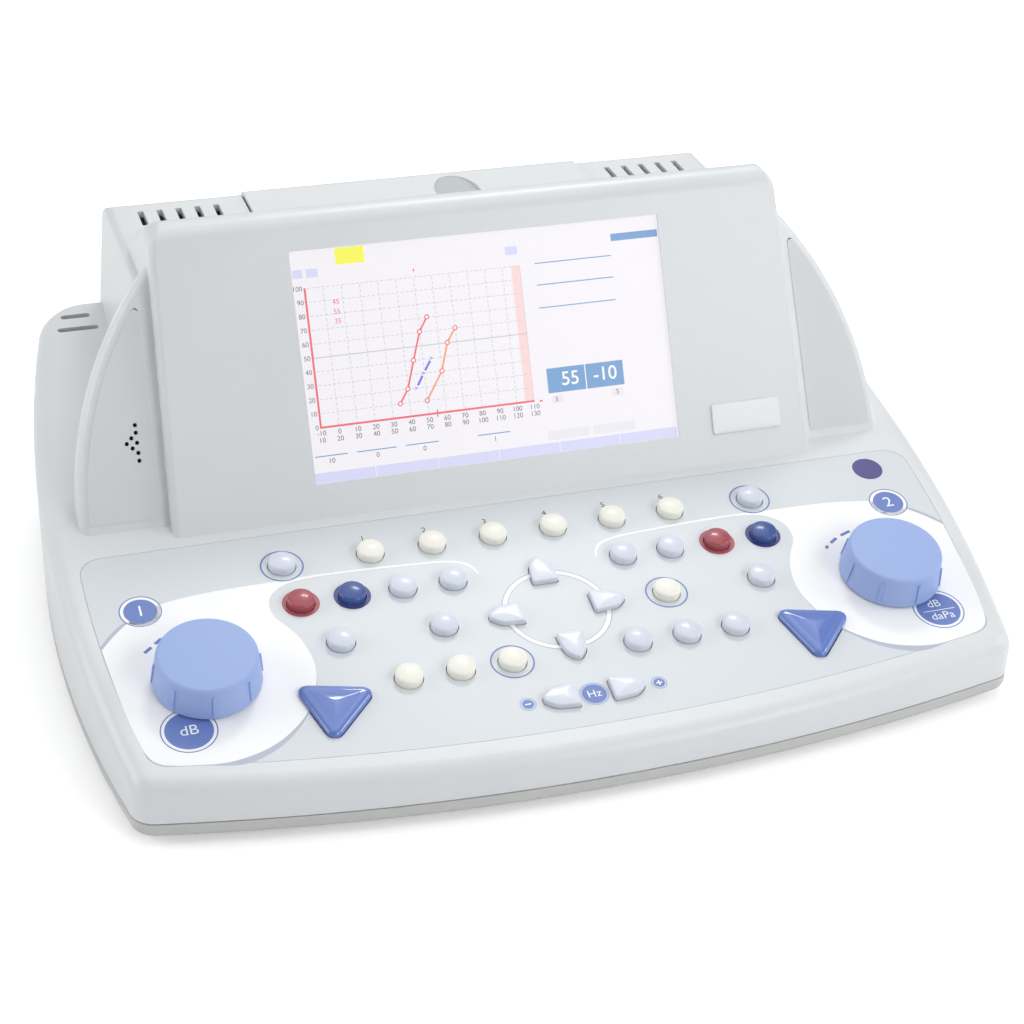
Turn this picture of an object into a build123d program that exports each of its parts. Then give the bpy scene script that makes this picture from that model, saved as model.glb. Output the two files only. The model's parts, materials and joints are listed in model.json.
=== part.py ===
from build123d import *
import math
import os

os.makedirs("parts", exist_ok=True)

# Lengths are millimetres and angles degrees.
# The unit faces -Y, its feet stand on Z = 0, and X = 0 is its middle.

# Plan of the casing at the parting line
BODY_WIDTH = 372.0
BODY_FRONT = -145.5
BODY_REAR = 145.5
SIDE_RADIUS = 590.0
SIDE_WIDEST_Y = -8.0
FRONT_RADIUS = 805.0
FRONT_CORNER = 10.0
REAR_PLAN_CORNER = 23.0
PARTING_Z = 9.9
WALL = 3.0
EDGE_ROUND = 7.4

# How far cutting and trimming bodies run on, and how near an edge counts as being at a place
OVERRUN = 30.0
MARGIN = 1.0
NEAR = 0.01

# Sloping key deck; the deck frame's origin is the middle of the arrow keys
DECK_TILT = 12.0
DECK_Y = -74.5
DECK_Z = 38.0

# Shoulders beside the display block, with two slots each: y, inner x and outer x
SHOULDER_FOOT_Y = 25.5
SHOULDER_TILT = 13.9
SHOULDER_BLEND = 200.0
SLOTS = ((131.4, 147.0, 159.6), (123.2, 144.5, 162.2))
SLOT_WIDTH = 2.6

# Display block
FACE_FOOT = 68.0
FACE_LEAN = 26.4
FACE_LENGTH = 125.6
FACE_ROUND = 10.0
FACE_FALL = 33.0
FACE_HALF_FOOT = 137.0
FACE_HALF_TOP = 132.3
FACE_TOP_Z = 160.1
FACE_CORNER = 10.0
FACE_CORNER_LIFT = 1.0
FACE_EDGE = 3.0
BLOCK_DEPTH = 30.0

# Rear block
REAR_TOP_Z = 131.3
REAR_HALF_TOP = 136.3
REAR_DRAFT = 6.3
REAR_START_Y = 45.0
REAR_CORNER = 8.0
REAR_SIDE_ROUND = 4.0

# Quarter-arch side webs, in the plane of their front faces
WEB_BACK = 7.2
WEB_LEAN = 27.5
WEB_DEPTH = 21.0
WEB_INNER_X = 125.0
WEB_ARCH_X = 18.8
WEB_ARCH_UP = 2.0
WEB_ARCH_RADIUS = 153.4
WEB_SINK = 8.0
WEB_FRONT_ROUND = 4.0
WEB_REAR_ROUND = 7.0

# Side panels let into the webs
PANEL_RIB = 4.2
PANEL_BOTTOM = 5.7
PANEL_INNER_X = 140.8
PANEL_INNER_LEAN = 1.1
PANEL_THICK = 1.6
PANEL_GAP = 0.25
PANEL_LEDGE = 3.0
PANEL_CORNER = 1.2
SPEAKER_HOLES = (
    (-145.75, (42.9, 39.9, 35.9, 31.9, 28.8)),
    (-147.75, (37.9, 33.9)),
    (-149.8, (35.9,)),
)
SPEAKER_HOLE_DIAMETER = 1.7
SPEAKER_PLACE = (-150.0, 36.0)
SPEAKER_RADIUS = 12.5
SPEAKER_RIM = 2.0
SPEAKER_CONE = 3.0
SPEAKER_MAGNET = (7.0, 7.0)

# Screen
SCREEN_WIDTH = 156.2
SCREEN_HEIGHT = 93.0
SCREEN_BOTTOM = 13.9
WINDOW_LIP = 0.8
WINDOW_THICK = 1.6
WINDOW_LAP = 3.0
LCD_BEZEL = 7.0
LCD_THICK = 8.0
LCD_PICTURE_LAP = 2.0
FIT = 0.2

# Keypad overlay film
FILM = 0.5
FILM_TOP = 63.0
FILM_FRONT = 60.4
FILM_FRONT_RADIUS = 930.0
FILM_SIDE = 175.7
FILM_SIDE_RADIUS = 485.0
FILM_SIDE_WIDEST = 50.0
FILM_CORNER = 9.0

# Keys
KEY_GAP = 0.33
KEY_TRAVEL = 1.2
KEY_RADIUS = 5.4
KEY_HEIGHT = 4.1
KEY_DOME = 0.8
KEY_FLANGE = 1.2
KEY_FLANGE_THICK = 1.2
KEY_STEM_RADIUS = 1.8
KEY_STEM = 1.8
KEY_PITCH = 20.32
FUNCTION_PITCH = 25.4
FUNCTION_ROW = 44.8
FUNCTION_COUNT = 6
SELECT_ROW = 23.3
LOW_ROW = -23.3
TEST_X = 99.1
SELECT_FIRST_X = 35.5
REVERSE_X = 86.3
STORE_X = 45.7
LOW_FIRST_X = 25.4

# Bullet-shaped keys: half width at the flat end, at the shoulder, and where the sides would meet
BULLET_HALF = 5.35
BULLET_SHOULDER = (9.4, 4.45)
BULLET_POINT = 14.6
BULLET_SHOULDER_ROUND = 5.0
BULLET_TIP_ROUND = 2.3
BULLET_CORNER = 0.8
BULLET_HEIGHT = 2.6
BULLET_DOME = 0.5
BULLET_STEM = 6.0
ARROW_X = 14.3
FREQUENCY_X = 6.75
FREQUENCY_ROW = -45.5

# Triangular talk keys
TALK_PLACE = (96.4, -31.4)
TALK_TURN = 16.0
TALK_RADIUS = 18.5
TALK_CORNER = 3.5
TALK_HEIGHT = 2.2
TALK_DOME = 1.6

# Turning knobs
KNOB_PLACE = (139.1, -8.2)
KNOB_RADIUS = 20.4
KNOB_TOP_RADIUS = 18.9
KNOB_HEIGHT = 14.0
KNOB_LIFT = 0.5
KNOB_EDGE = 1.5
KNOB_WALL = 3.5
KNOB_HOLLOW = 8.0
KNOB_RIBS = 8
KNOB_RIB_WIDTH = 0.8
KNOB_RIB_PROUD = 0.5
KNOB_RIB_ENDS = (2.0, 11.2)
KNOB_RIB_TURNS = {-1: -4.0, 1: 7.0}
KNOB_STEM_RADIUS = 3.0
KNOB_STEM_END = 9.0
RUNNING_GAP = 0.05

# Keypad board and encoders
BOARD_DROP = 11.0
BOARD_THICK = 1.6
KEYPAD_BOARD = (300.0, 100.0)
SWITCH_SIZE = 6.0
SWITCH_GAP = 0.1
ENCODER_SIZE = 14.0
ENCODER_NECK = 4.4
BOARD_BOSS_RADIUS = 3.0
BOARD_BOSSES = ((-130.0, 40.0), (130.0, 40.0), (-128.0, -44.0), (128.0, -44.0), (0.0, 36.0))

# Base tray, posts, screws and feet
TRAY_BOTTOM = 3.4
TRAY_FLOOR = 2.5
TRAY_EDGE = 2.4
TRAY_GROOVE_HEIGHT = 0.6
TRAY_GROOVE_DEPTH = 0.8
LIP_HEIGHT = 2.5
LIP_GAP = 0.5
LIP_THICK = 1.6
POST_RADIUS = 4.0
POST_END_Z = 12.0
POST_PLACES = ((28.0, -112.0), (14.0, 20.0), (26.0, 110.0))
SCREW_RADIUS = 1.5
SCREW_TOP_Z = 24.0
SCREW_HEAD_RADIUS = 3.0
SCREW_HEAD = 2.0
SCREW_SEAT_Z = 7.0
FOOT_RADIUS = 8.0
FOOT_SUNK = 1.2
FOOT_GAP = 0.2
FOOT_EDGE = 0.8
FOOT_PLACES = ((36.0, -100.0), (44.0, 92.0))

# Main board
MAIN_BOARD = (236.0, 116.0)
MAIN_BOARD_Z = 11.9
MAIN_BOARD_BOSSES = (110.0, 50.0)

# Parts on the main board: place (x, y) and size
BOARD_PARTS = (
    ((-60.0, -20.0), (30.0, 30.0, 3.0)),
    ((10.0, -10.0), (24.0, 24.0, 3.0)),
    ((60.0, 20.0), (18.0, 12.0, 3.0)),
    ((-20.0, 35.0), (40.0, 8.0, 8.0)),
    ((85.0, -30.0), (20.0, 16.0, 6.0)),
    ((40.0, 45.0), (50.0, 8.0, 8.0)),
    ((-95.0, 30.0), (12.0, 24.0, 10.0)),
)

# Air pump
PUMP_PLACE = (-88.0, 92.0)
PUMP_BASE = (46.0, 30.0, 22.0)
PUMP_MOTOR_RADIUS = 9.0
PUMP_MOTOR = 24.0
PUMP_PORT_RADIUS = 1.6
PUMP_PORT = 6.0
PUMP_PORT_UP = 14.7
MOULDED_ROUND = 1.5

# Vents
VENT_COUNT = 5
VENT_OUTER_X = 122.35
VENT_PITCH = 8.15
VENT_WIDTH = 2.7
VENT_ENDS = (117.5, 128.7)
VENT_CORNER = 0.6

# Printer lid and its hinge
LID_HALF = 76.7
LID_FRONT_Y = 101.5
LID_PROUD = 1.8
LID_THICK = 2.2
LID_GAP = 0.3
LID_CORNER = 9.0
HINGE_Z = 117.0
HINGE_RADIUS = 2.1
HINGE_PIN_RADIUS = 1.0
HINGE_EAR = (60.0, 66.6)
HINGE_EAR_GAP = 0.3
SCOOP_PLACE = (15.5, 116.5)
SCOOP_HALF = (10.2, 18.0)
SCOOP_DEPTH = 3.2
SCOOP_SHALLOW = 0.3
SCOOP_SKIN = 1.2

# Printer
BAY_HALF = 72.0
BAY_WALL = 2.0
BAY_SKIN = 1.6
BAY_FRONT_Y = 102.0
BAY_REAR_Y = 138.5
BAY_FLOOR_Z = 90.0
BAY_FLANGE = 10.0
ROLL_Y = 123.5
ROLL_Z = 105.0
ROLL_RADIUS = 14.0
ROLL_HALF = 56.0
ROLL_CORE = 4.0
SPINDLE_ENGAGE = 6.0
PLATEN_Y = 110.5
PLATEN_Z = 121.5
PLATEN_RADIUS = 6.0
PLATEN_HALF = 58.0
PLATEN_SHAFT = 2.0
HEAD_GAP = 0.3
HEAD_HEIGHT = 10.0

# Rear connector recess and plate
RECESS_HALF = 112.0
RECESS_Z = (22.0, 62.0)
RECESS_DEPTH = 4.0
RECESS_WALL = 2.5
RECESS_LEDGE = 4.0
PLATE_THICK = 2.0
PLATE_GAP = 0.4
PORT_Z = 42.0
JACK_PLACES = (-32.0, -8.0, 16.0, 40.0)
JACK_BORE = 3.2
JACK_NECK = 4.5
JACK_NUT = 6.0
JACK_NUT_THICK = 2.0
JACK_BODY = (14.0, 18.0, 12.0)
JACK_DEPTH = 20.0
PROBE_X = -80.0
PROBE_BORE = 5.6
PROBE_SHELL = 8.0
PROBE_DEPTH = 14.0
PROBE_BACK = 18.0
PROBE_FLANGE = (46.0, 22.0, 2.0)
PROBE_FLANGE_X = -71.0
AIR_X = -58.0
AIR_BORE = 2.0
AIR_DEPTH = 8.0
AIR_SHELL = 4.0
AIR_BACK = 12.0
AIR_CHANNEL = 0.9
INLET_X = 94.0
INLET_BORE = 3.2
INLET_SHELL = 5.0
INLET_PIN = 1.0
INLET_DEPTH = 10.0
ENTRY_FLANGE = (46.0, 26.0, 2.0)
ENTRY_X = 82.0
ROCKER_X = 72.0
ROCKER_WIDTH = 12.0
ROCKER_HALF = 8.0
ROCKER_TILT = 9.0
ROCKER_BULGE = 3.6
ROCKER_WAIST = 2.4
ROCKER_RIM = 1.4
ROCKER_BACK = 3.0
ROCKER_BACK_HALF = 5.3
ROCKER_AXLE = 1.5
ROCKER_SUNK = 5.0
ROCKER_WELL = (13.0, 14.0, 19.0)
ROCKER_WELL_WALL = 2.0

deck = Location((0, DECK_Y, DECK_Z), (DECK_TILT, 0, 0))
face_foot_y = DECK_Y + FACE_FOOT * math.cos(math.radians(DECK_TILT))
face_foot_z = DECK_Z + FACE_FOOT * math.sin(math.radians(DECK_TILT))
face = Location((0, face_foot_y, face_foot_z), (90 - FACE_LEAN, 0, 0))
web = Location((0, face_foot_y + WEB_BACK, face_foot_z), (90 - WEB_LEAN, 0, 0))


def deck_height(y):
    return DECK_Z + (y - DECK_Y) * math.tan(math.radians(DECK_TILT))


def shoulder_height(y):
    rise = (y - SHOULDER_FOOT_Y) * math.tan(math.radians(SHOULDER_TILT))
    return deck_height(SHOULDER_FOOT_Y) + rise


def up_lean(start, lean, length):
    """Point reached from start after length up a line that leans back from the vertical."""
    angle = math.radians(lean)
    return (start[0] + length * math.sin(angle), start[1] + length * math.cos(angle))


def fall_height(start, fall, y):
    """Height at y of a line that falls rearwards from start."""
    return start[1] - (y - start[0]) * math.tan(math.radians(fall))


def slab(low, high):
    """Box between two opposite corners."""
    size = [b - a for a, b in zip(low, high)]
    middle = [(a + b) / 2 for a, b in zip(low, high)]
    return Pos(*middle) * Box(*size)


def prism(outline, low, high):
    """Outline in the local XY plane as a solid from local height low to high."""
    return Pos(0, 0, low) * extrude(outline, amount=high - low)


def across(profile, half):
    """YZ profile as a solid that runs half to each side of the middle."""
    return extrude(Plane.YZ * profile, amount=half, both=True)


def bar_x(radius, low, high, y, z):
    """Round bar along X."""
    return Pos((low + high) / 2, y, z) * Rot(0, 90, 0) * Cylinder(radius, high - low)


def bar_y(radius, low, high, x, z):
    """Round bar along Y."""
    return Pos(x, (low + high) / 2, z) * Rot(90, 0, 0) * Cylinder(radius, high - low)


def near_vertices(sketch, point):
    return sketch.vertices().sort_by_distance(Vector(point[0], point[1], 0))[0]


def write(node, solid):
    export_step(solid, "parts/" + node + ".step")


# Casing volume

def plan_outline(inset):
    """Casing seen from above, moved in by inset."""
    side_x = SIDE_RADIUS - BODY_WIDTH / 2
    front = Pos(0, BODY_FRONT + FRONT_RADIUS) * Circle(FRONT_RADIUS - inset)
    left = Pos(side_x, SIDE_WIDEST_Y) * Circle(SIDE_RADIUS - inset)
    right = Pos(-side_x, SIDE_WIDEST_Y) * Circle(SIDE_RADIUS - inset)
    rear_y = BODY_REAR - inset
    depth = rear_y - BODY_FRONT + OVERRUN
    window = Pos(0, rear_y - depth / 2) * Rectangle(2 * BODY_WIDTH, depth)
    outline = front & left & right & window
    outline = fillet(outline.vertices().sort_by(Axis.Y)[:2], FRONT_CORNER - inset)
    return fillet(outline.vertices().sort_by(Axis.Y)[-2:], REAR_PLAN_CORNER - inset)


def low_profile(inset):
    """Deck and shoulder in side view."""
    front_y = BODY_FRONT - OVERRUN
    rear_y = BODY_REAR + OVERRUN
    foot = (SHOULDER_FOOT_Y, deck_height(SHOULDER_FOOT_Y))
    points = [
        (front_y, -OVERRUN),
        (front_y, deck_height(front_y)),
        foot,
        (rear_y, shoulder_height(rear_y)),
        (rear_y, -OVERRUN),
    ]
    profile = make_face(Polyline(*points, close=True))
    profile = fillet(near_vertices(profile, foot), SHOULDER_BLEND)
    return offset(profile, amount=-inset) if inset > 0 else profile


def display_profile(inset):
    """Display block in side view."""
    foot = (face_foot_y, face_foot_z)
    low = up_lean(foot, FACE_LEAN, -BLOCK_DEPTH)
    apex = up_lean(foot, FACE_LEAN, FACE_LENGTH)
    end_y = LID_FRONT_Y
    points = [
        low,
        apex,
        (end_y, fall_height(apex, FACE_FALL, end_y)),
        (end_y, low[1]),
    ]
    profile = make_face(Polyline(*points, close=True))
    profile = fillet(near_vertices(profile, apex), FACE_ROUND)
    return offset(profile, amount=-inset) if inset > 0 else profile


def trapezoid_wall(half_low, z_low, half_high, z_high, corner, inset):
    """Front-view trapezoid as a solid along the whole depth, its upper corners rounded."""
    points = [(-half_low, z_low), (half_low, z_low), (half_high, z_high), (-half_high, z_high)]
    outline = make_face(Polyline(*points, close=True))
    outline = fillet(outline.vertices().sort_by(Axis.Y)[-2:], corner)
    if inset > 0:
        outline = offset(outline, amount=-inset)
    return extrude(Plane.XZ * outline, amount=2 * BODY_REAR, both=True)


def display_block(inset):
    slope = (FACE_HALF_FOOT - FACE_HALF_TOP) / (FACE_TOP_Z - face_foot_z)
    low_z = -OVERRUN
    high_z = FACE_TOP_Z + FACE_CORNER_LIFT
    half_low = FACE_HALF_FOOT + slope * (face_foot_z - low_z)
    half_high = FACE_HALF_TOP - slope * FACE_CORNER_LIFT
    sides = trapezoid_wall(half_low, low_z, half_high, high_z, FACE_CORNER, inset)
    block = across(display_profile(inset), BODY_WIDTH) & sides
    if inset > 0:
        return block
    side_edges = [
        e for e in block.edges()
        if abs((e @ 0.5).X) > FACE_HALF_TOP - 2 * FACE_CORNER
        and max((e @ 0).Z, (e @ 1).Z) > face_foot_z + MARGIN
        and (e @ 0.5).Y < LID_FRONT_Y - MARGIN
    ]
    return fillet(side_edges, FACE_EDGE)


def rear_block(inset):
    slope = math.tan(math.radians(REAR_DRAFT))
    low_z = PARTING_Z
    half_low = REAR_HALF_TOP + slope * (REAR_TOP_Z - low_z)
    sides = trapezoid_wall(half_low, low_z - OVERRUN, REAR_HALF_TOP, REAR_TOP_Z, REAR_SIDE_ROUND, inset)
    points = [(REAR_START_Y, low_z), (REAR_START_Y, REAR_TOP_Z), (BODY_REAR, REAR_TOP_Z), (BODY_REAR, low_z)]
    profile = make_face(Polyline(*points, close=True))
    profile = fillet(near_vertices(profile, (BODY_REAR, REAR_TOP_Z)), REAR_CORNER)
    if inset > 0:
        profile = offset(profile, amount=-inset)
    return across(profile, BODY_WIDTH) & sides


def web_outline(side, inset):
    """Quarter arch in the web's plane; side is -1 for the left one."""
    arch = Pos(side * WEB_ARCH_X, WEB_ARCH_UP) * Circle(WEB_ARCH_RADIUS - inset)
    top = WEB_ARCH_UP + WEB_ARCH_RADIUS
    width = WEB_ARCH_X + WEB_ARCH_RADIUS - WEB_INNER_X
    upper = Pos(side * (WEB_INNER_X + width / 2), top / 2) * Rectangle(width, top)
    lower_width = width - inset
    lower = Pos(side * (WEB_INNER_X + lower_width / 2), WEB_ARCH_UP / 2 - WEB_SINK / 2)
    return (arch & upper) + lower * Rectangle(lower_width, WEB_ARCH_UP + WEB_SINK)


def web_block(side, inset):
    outline = web_outline(side, inset)
    block = prism(outline, -WEB_DEPTH + inset, -inset)
    if inset == 0:
        block = fillet(arch_edges(block, 0), WEB_FRONT_ROUND)
        block = fillet(arch_edges(block, -WEB_DEPTH), WEB_REAR_ROUND)
    return web * block


def arch_edges(block, height):
    """The arch's curved edge and the straight one below it, at one local height."""
    outer = WEB_ARCH_X + WEB_ARCH_RADIUS
    edges = []
    for edge in block.edges():
        if max(abs((edge @ 0).Z - height), abs((edge @ 1).Z - height)) > NEAR:
            continue
        is_upright = abs((edge @ 0).X - (edge @ 1).X) < NEAR and abs((edge @ 0.5).X) > outer - MARGIN
        if edge.geom_type == GeomType.CIRCLE or is_upright:
            edges.append(edge)
    return edges


def low_block(inset):
    """Deck and shoulders over the whole plan, with the top edge rounded all the way round."""
    block = across(low_profile(inset), BODY_WIDTH) & prism(plan_outline(inset), 0, FACE_TOP_Z)
    if inset > 0:
        return block
    rim = []
    for edge in block.edges():
        middle = edge @ 0.5
        is_inner = abs(middle.X) < MARGIN and BODY_FRONT + MARGIN < middle.Y < BODY_REAR - MARGIN
        is_high = min((edge @ 0).Z, (edge @ 1).Z) > PARTING_Z + MARGIN
        if is_high and not is_inner:
            rim.append(edge)
    return fillet(rim, EDGE_ROUND)


def casing_volume(inset):
    """Whole upper casing as a solid, with every outer face moved in by inset."""
    volume = low_block(inset) + display_block(inset) + rear_block(inset)
    for side in (-1, 1):
        volume = volume + web_block(side, inset)
    above = slab((-BODY_WIDTH, BODY_FRONT - OVERRUN, PARTING_Z), (BODY_WIDTH, BODY_REAR + OVERRUN, 2 * FACE_TOP_Z))
    return volume & above if inset == 0 else volume


# Key outlines, in the deck plane

def bullet_outline(grow):
    """Flat end on the local Y axis, tip towards +X."""
    x_shoulder = BULLET_SHOULDER[0]
    y_shoulder = BULLET_SHOULDER[1]
    points = [
        (0, -BULLET_HALF),
        (x_shoulder, -y_shoulder),
        (BULLET_POINT, 0),
        (x_shoulder, y_shoulder),
        (0, BULLET_HALF),
    ]
    outline = make_face(Polyline(*points, close=True))
    outline = fillet(near_vertices(outline, (BULLET_POINT, 0)), BULLET_TIP_ROUND)
    for y in (-1, 1):
        outline = fillet(near_vertices(outline, (x_shoulder, y * y_shoulder)), BULLET_SHOULDER_ROUND)
        outline = fillet(near_vertices(outline, (0, y * BULLET_HALF)), BULLET_CORNER)
    return offset(outline, amount=grow) if grow > 0 else outline


def talk_outline(grow):
    angles = [math.radians(TALK_TURN + 120 * i) for i in range(3)]
    points = [(TALK_RADIUS * math.cos(a), TALK_RADIUS * math.sin(a)) for a in angles]
    outline = make_face(Polyline(*points, close=True))
    outline = fillet(outline.vertices(), TALK_CORNER)
    return offset(outline, amount=grow) if grow > 0 else outline


def round_outline(grow):
    return Circle(KEY_RADIUS + grow)


# Each key shape: outline, height, dome, reach of the dome, and place of the stem
KEY_SHAPES = {
    "round": (round_outline, KEY_HEIGHT, KEY_DOME, KEY_RADIUS, 0.0),
    "bullet": (bullet_outline, BULLET_HEIGHT, BULLET_DOME, BULLET_POINT / 2, BULLET_STEM),
    "talk": (talk_outline, TALK_HEIGHT, TALK_DOME, TALK_RADIUS - TALK_CORNER, 0.0),
}


def key_places():
    """Node name, key shape and place (x, y, turn) on the deck for every key."""
    places = []
    for i in range(FUNCTION_COUNT):
        x = (i - (FUNCTION_COUNT - 1) / 2) * FUNCTION_PITCH
        places.append(("function_key_" + str(i + 1), "round", (x, FUNCTION_ROW, 0)))
    places.append(("test_key", "round", (-TEST_X, FUNCTION_ROW, 0)))
    places.append(("enter_key", "round", (TEST_X, FUNCTION_ROW, 0)))
    select = ["input_key", "output_key"]
    colours = {-1: ["blue_key", "red_key"], 1: ["red_key", "blue_key"]}
    for side, word in ((-1, "left_"), (1, "right_")):
        for i, name in enumerate(select + colours[side]):
            x = side * (SELECT_FIRST_X + i * KEY_PITCH)
            places.append((word + name, "round", (x, SELECT_ROW, 0)))
        places.append((word + "reverse_key", "round", (side * REVERSE_X, 0, 0)))
    places.append(("print_key", "round", (-STORE_X, 0, 0)))
    places.append(("store_key", "round", (STORE_X, 0, 0)))
    low_keys = {
        -1: ["side_key", "contralateral_key", "ipsilateral_key"],
        1: ["controls_key", "talk_over_key", "start_stop_key"],
    }
    for side, names in low_keys.items():
        for i, name in enumerate(names):
            places.append((name, "round", (side * (LOW_FIRST_X + i * KEY_PITCH), LOW_ROW, 0)))
    for name, turn in (("right", 0), ("up", 90), ("left", 180), ("down", 270)):
        angle = math.radians(turn)
        x = ARROW_X * math.cos(angle)
        y = ARROW_X * math.sin(angle)
        places.append(("arrow_key_" + name, "bullet", (x, y, turn)))
    places.append(("frequency_down_key", "bullet", (-FREQUENCY_X, FREQUENCY_ROW, 180)))
    places.append(("frequency_up_key", "bullet", (FREQUENCY_X, FREQUENCY_ROW, 0)))
    places.append(("left_talk_key", "talk", (-TALK_PLACE[0], TALK_PLACE[1], 0)))
    places.append(("right_talk_key", "talk", (TALK_PLACE[0], TALK_PLACE[1], 0)))
    return places


def on_deck(place, solid):
    return deck * Pos(place[0], place[1], 0) * Rot(0, 0, place[2]) * solid


def key_hole(shape):
    outline = KEY_SHAPES[shape][0]
    return prism(outline(KEY_GAP), -2 * WALL, WALL)


def make_key(shape, place):
    """Cap with a shallow dome, a flange below the deck and a stem over its switch."""
    outline, height, dome, reach, stem_x = KEY_SHAPES[shape]
    dome_radius = (reach ** 2 + dome ** 2) / (2 * dome)
    cap = prism(outline(0), -WALL, height)
    cap = cap & Pos(0, 0, height - dome_radius) * Sphere(dome_radius)
    flange = prism(outline(KEY_FLANGE), -WALL - KEY_FLANGE_THICK, -WALL)
    stem_end = WALL + KEY_FLANGE_THICK + KEY_STEM
    stem = Pos(stem_x, 0) * Circle(KEY_STEM_RADIUS)
    key = cap + flange + prism(stem, -stem_end, -WALL - KEY_FLANGE_THICK)
    return on_deck(place, key)


# Overlay film

def film_outline(grow):
    front = Pos(0, FILM_FRONT_RADIUS - FILM_FRONT) * Circle(FILM_FRONT_RADIUS + grow)
    side_x = FILM_SIDE_RADIUS - FILM_SIDE
    left = Pos(side_x, FILM_SIDE_WIDEST) * Circle(FILM_SIDE_RADIUS + grow)
    right = Pos(-side_x, FILM_SIDE_WIDEST) * Circle(FILM_SIDE_RADIUS + grow)
    height = 2 * FILM_TOP
    top = Pos(0, FILM_TOP + grow - height / 2) * Rectangle(2 * FILM_SIDE + OVERRUN, height)
    outline = front & left & right & top
    return fillet(outline.vertices(), FILM_CORNER)


def make_overlay():
    film = prism(film_outline(0), -FILM, 0)
    for name, shape, place in key_places():
        film = film - Pos(place[0], place[1], 0) * Rot(0, 0, place[2]) * key_hole(shape)
    for side in (-1, 1):
        film = film - Pos(side * KNOB_PLACE[0], KNOB_PLACE[1], 0) * Cylinder(ENCODER_NECK + KEY_GAP, WALL)
    return deck * film


# Side panels

def panel_outline(side, grow):
    arch = Pos(side * WEB_ARCH_X, WEB_ARCH_UP) * Circle(WEB_ARCH_RADIUS - PANEL_RIB + grow)
    lean = math.tan(math.radians(PANEL_INNER_LEAN))
    low = PANEL_BOTTOM - grow
    high = WEB_ARCH_UP + WEB_ARCH_RADIUS
    inner = PANEL_INNER_X - grow
    outer = WEB_ARCH_X + WEB_ARCH_RADIUS
    points = [
        (side * inner, low),
        (side * (inner - lean * (high - low)), high),
        (side * outer, high),
        (side * outer, low),
    ]
    region = make_face(Polyline(*points, close=True)) & arch
    return fillet(region.vertices(), PANEL_CORNER)


def make_side_panel(side):
    plate = prism(panel_outline(side, 0), -PANEL_THICK, 0)
    plug = prism(panel_outline(side, -PANEL_LEDGE - PANEL_GAP), -WALL, -PANEL_THICK)
    panel = plate + plug
    if side < 0:
        for x, heights in SPEAKER_HOLES:
            for up in heights:
                panel = panel - Pos(x, up, 0) * Cylinder(SPEAKER_HOLE_DIAMETER / 2, 4 * WALL)
    return web * panel


def make_speaker():
    """Small loudspeaker on the back of the left panel."""
    rim = Cylinder(SPEAKER_RADIUS, SPEAKER_RIM, align=(Align.CENTER, Align.CENTER, Align.MAX))
    cone = Cone(SPEAKER_MAGNET[0], SPEAKER_RADIUS - SPEAKER_RIM, SPEAKER_CONE,
                align=(Align.CENTER, Align.CENTER, Align.MAX))
    magnet = Cylinder(SPEAKER_MAGNET[0], SPEAKER_MAGNET[1], align=(Align.CENTER, Align.CENTER, Align.MAX))
    dish = Cone(SPEAKER_MAGNET[0] / 2, SPEAKER_RADIUS - 2 * SPEAKER_RIM, SPEAKER_RIM,
                align=(Align.CENTER, Align.CENTER, Align.MAX))
    speaker = rim + Pos(0, 0, -SPEAKER_RIM) * cone + Pos(0, 0, -SPEAKER_RIM - SPEAKER_CONE) * magnet - dish
    return web * Pos(SPEAKER_PLACE[0], SPEAKER_PLACE[1], -WALL) * speaker


# Screen

def screen_plate(lap, low, high, gap=0.0):
    """Plate behind the screen opening, wider than it by lap on every side."""
    middle = SCREEN_BOTTOM + SCREEN_HEIGHT / 2
    width = SCREEN_WIDTH + 2 * (lap - gap)
    height = SCREEN_HEIGHT + 2 * (lap - gap)
    return face * Pos(0, middle, (low + high) / 2) * Box(width, height, high - low)


def make_window():
    return screen_plate(WINDOW_LAP, -WINDOW_LIP - WINDOW_THICK, -WINDOW_LIP, FIT)


def make_lcd():
    """Frame seated on the inside of the housing, its picture area up against the window."""
    frame = screen_plate(LCD_BEZEL, -WALL - LCD_THICK, -WALL)
    picture = screen_plate(LCD_PICTURE_LAP, -WALL, -WINDOW_LIP - WINDOW_THICK, FIT)
    return frame + picture


# Upper housing

def inset_places(places):
    """Both sides' points for pairs of a distance in from the casing's side and a Y."""
    return [(side * (BODY_WIDTH / 2 - inset), y) for inset, y in places for side in (-1, 1)]


def post_places():
    return inset_places(POST_PLACES)


def vent_places():
    return [side * (VENT_OUTER_X - i * VENT_PITCH) for i in range(VENT_COUNT) for side in (-1, 1)]


def printer_opening():
    """Gap under the printer lid: top, rounded rear edge and the upper part of the rear wall."""
    half = LID_HALF + LID_GAP
    front = LID_FRONT_Y - LID_GAP
    top = slab((-half, front, REAR_TOP_Z - 2 * WALL), (half, BODY_REAR + WALL, FACE_TOP_Z))
    low = HINGE_Z - HINGE_RADIUS - LID_GAP
    rear = slab((-half, BODY_REAR - 2 * WALL, low), (half, BODY_REAR + WALL, REAR_TOP_Z))
    return top + rear


def hinge_ears():
    """Two lugs that hold the lid's pin."""
    centre_y = BODY_REAR - HINGE_RADIUS
    ears = []
    for side in (-1, 1):
        ends = sorted((side * HINGE_EAR[0], side * HINGE_EAR[1]))
        lug = bar_x(HINGE_RADIUS, ends[0], ends[1], centre_y, HINGE_Z)
        root_low = HINGE_Z - 2 * HINGE_RADIUS
        root = slab((ends[0], centre_y - HINGE_RADIUS, root_low), (ends[1], BODY_REAR, HINGE_Z))
        ears.append(lug + root)
    return ears


def connector_recess():
    half = RECESS_HALF
    return slab((-half, BODY_REAR - RECESS_DEPTH, RECESS_Z[0]), (half, BODY_REAR + WALL, RECESS_Z[1]))


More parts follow.
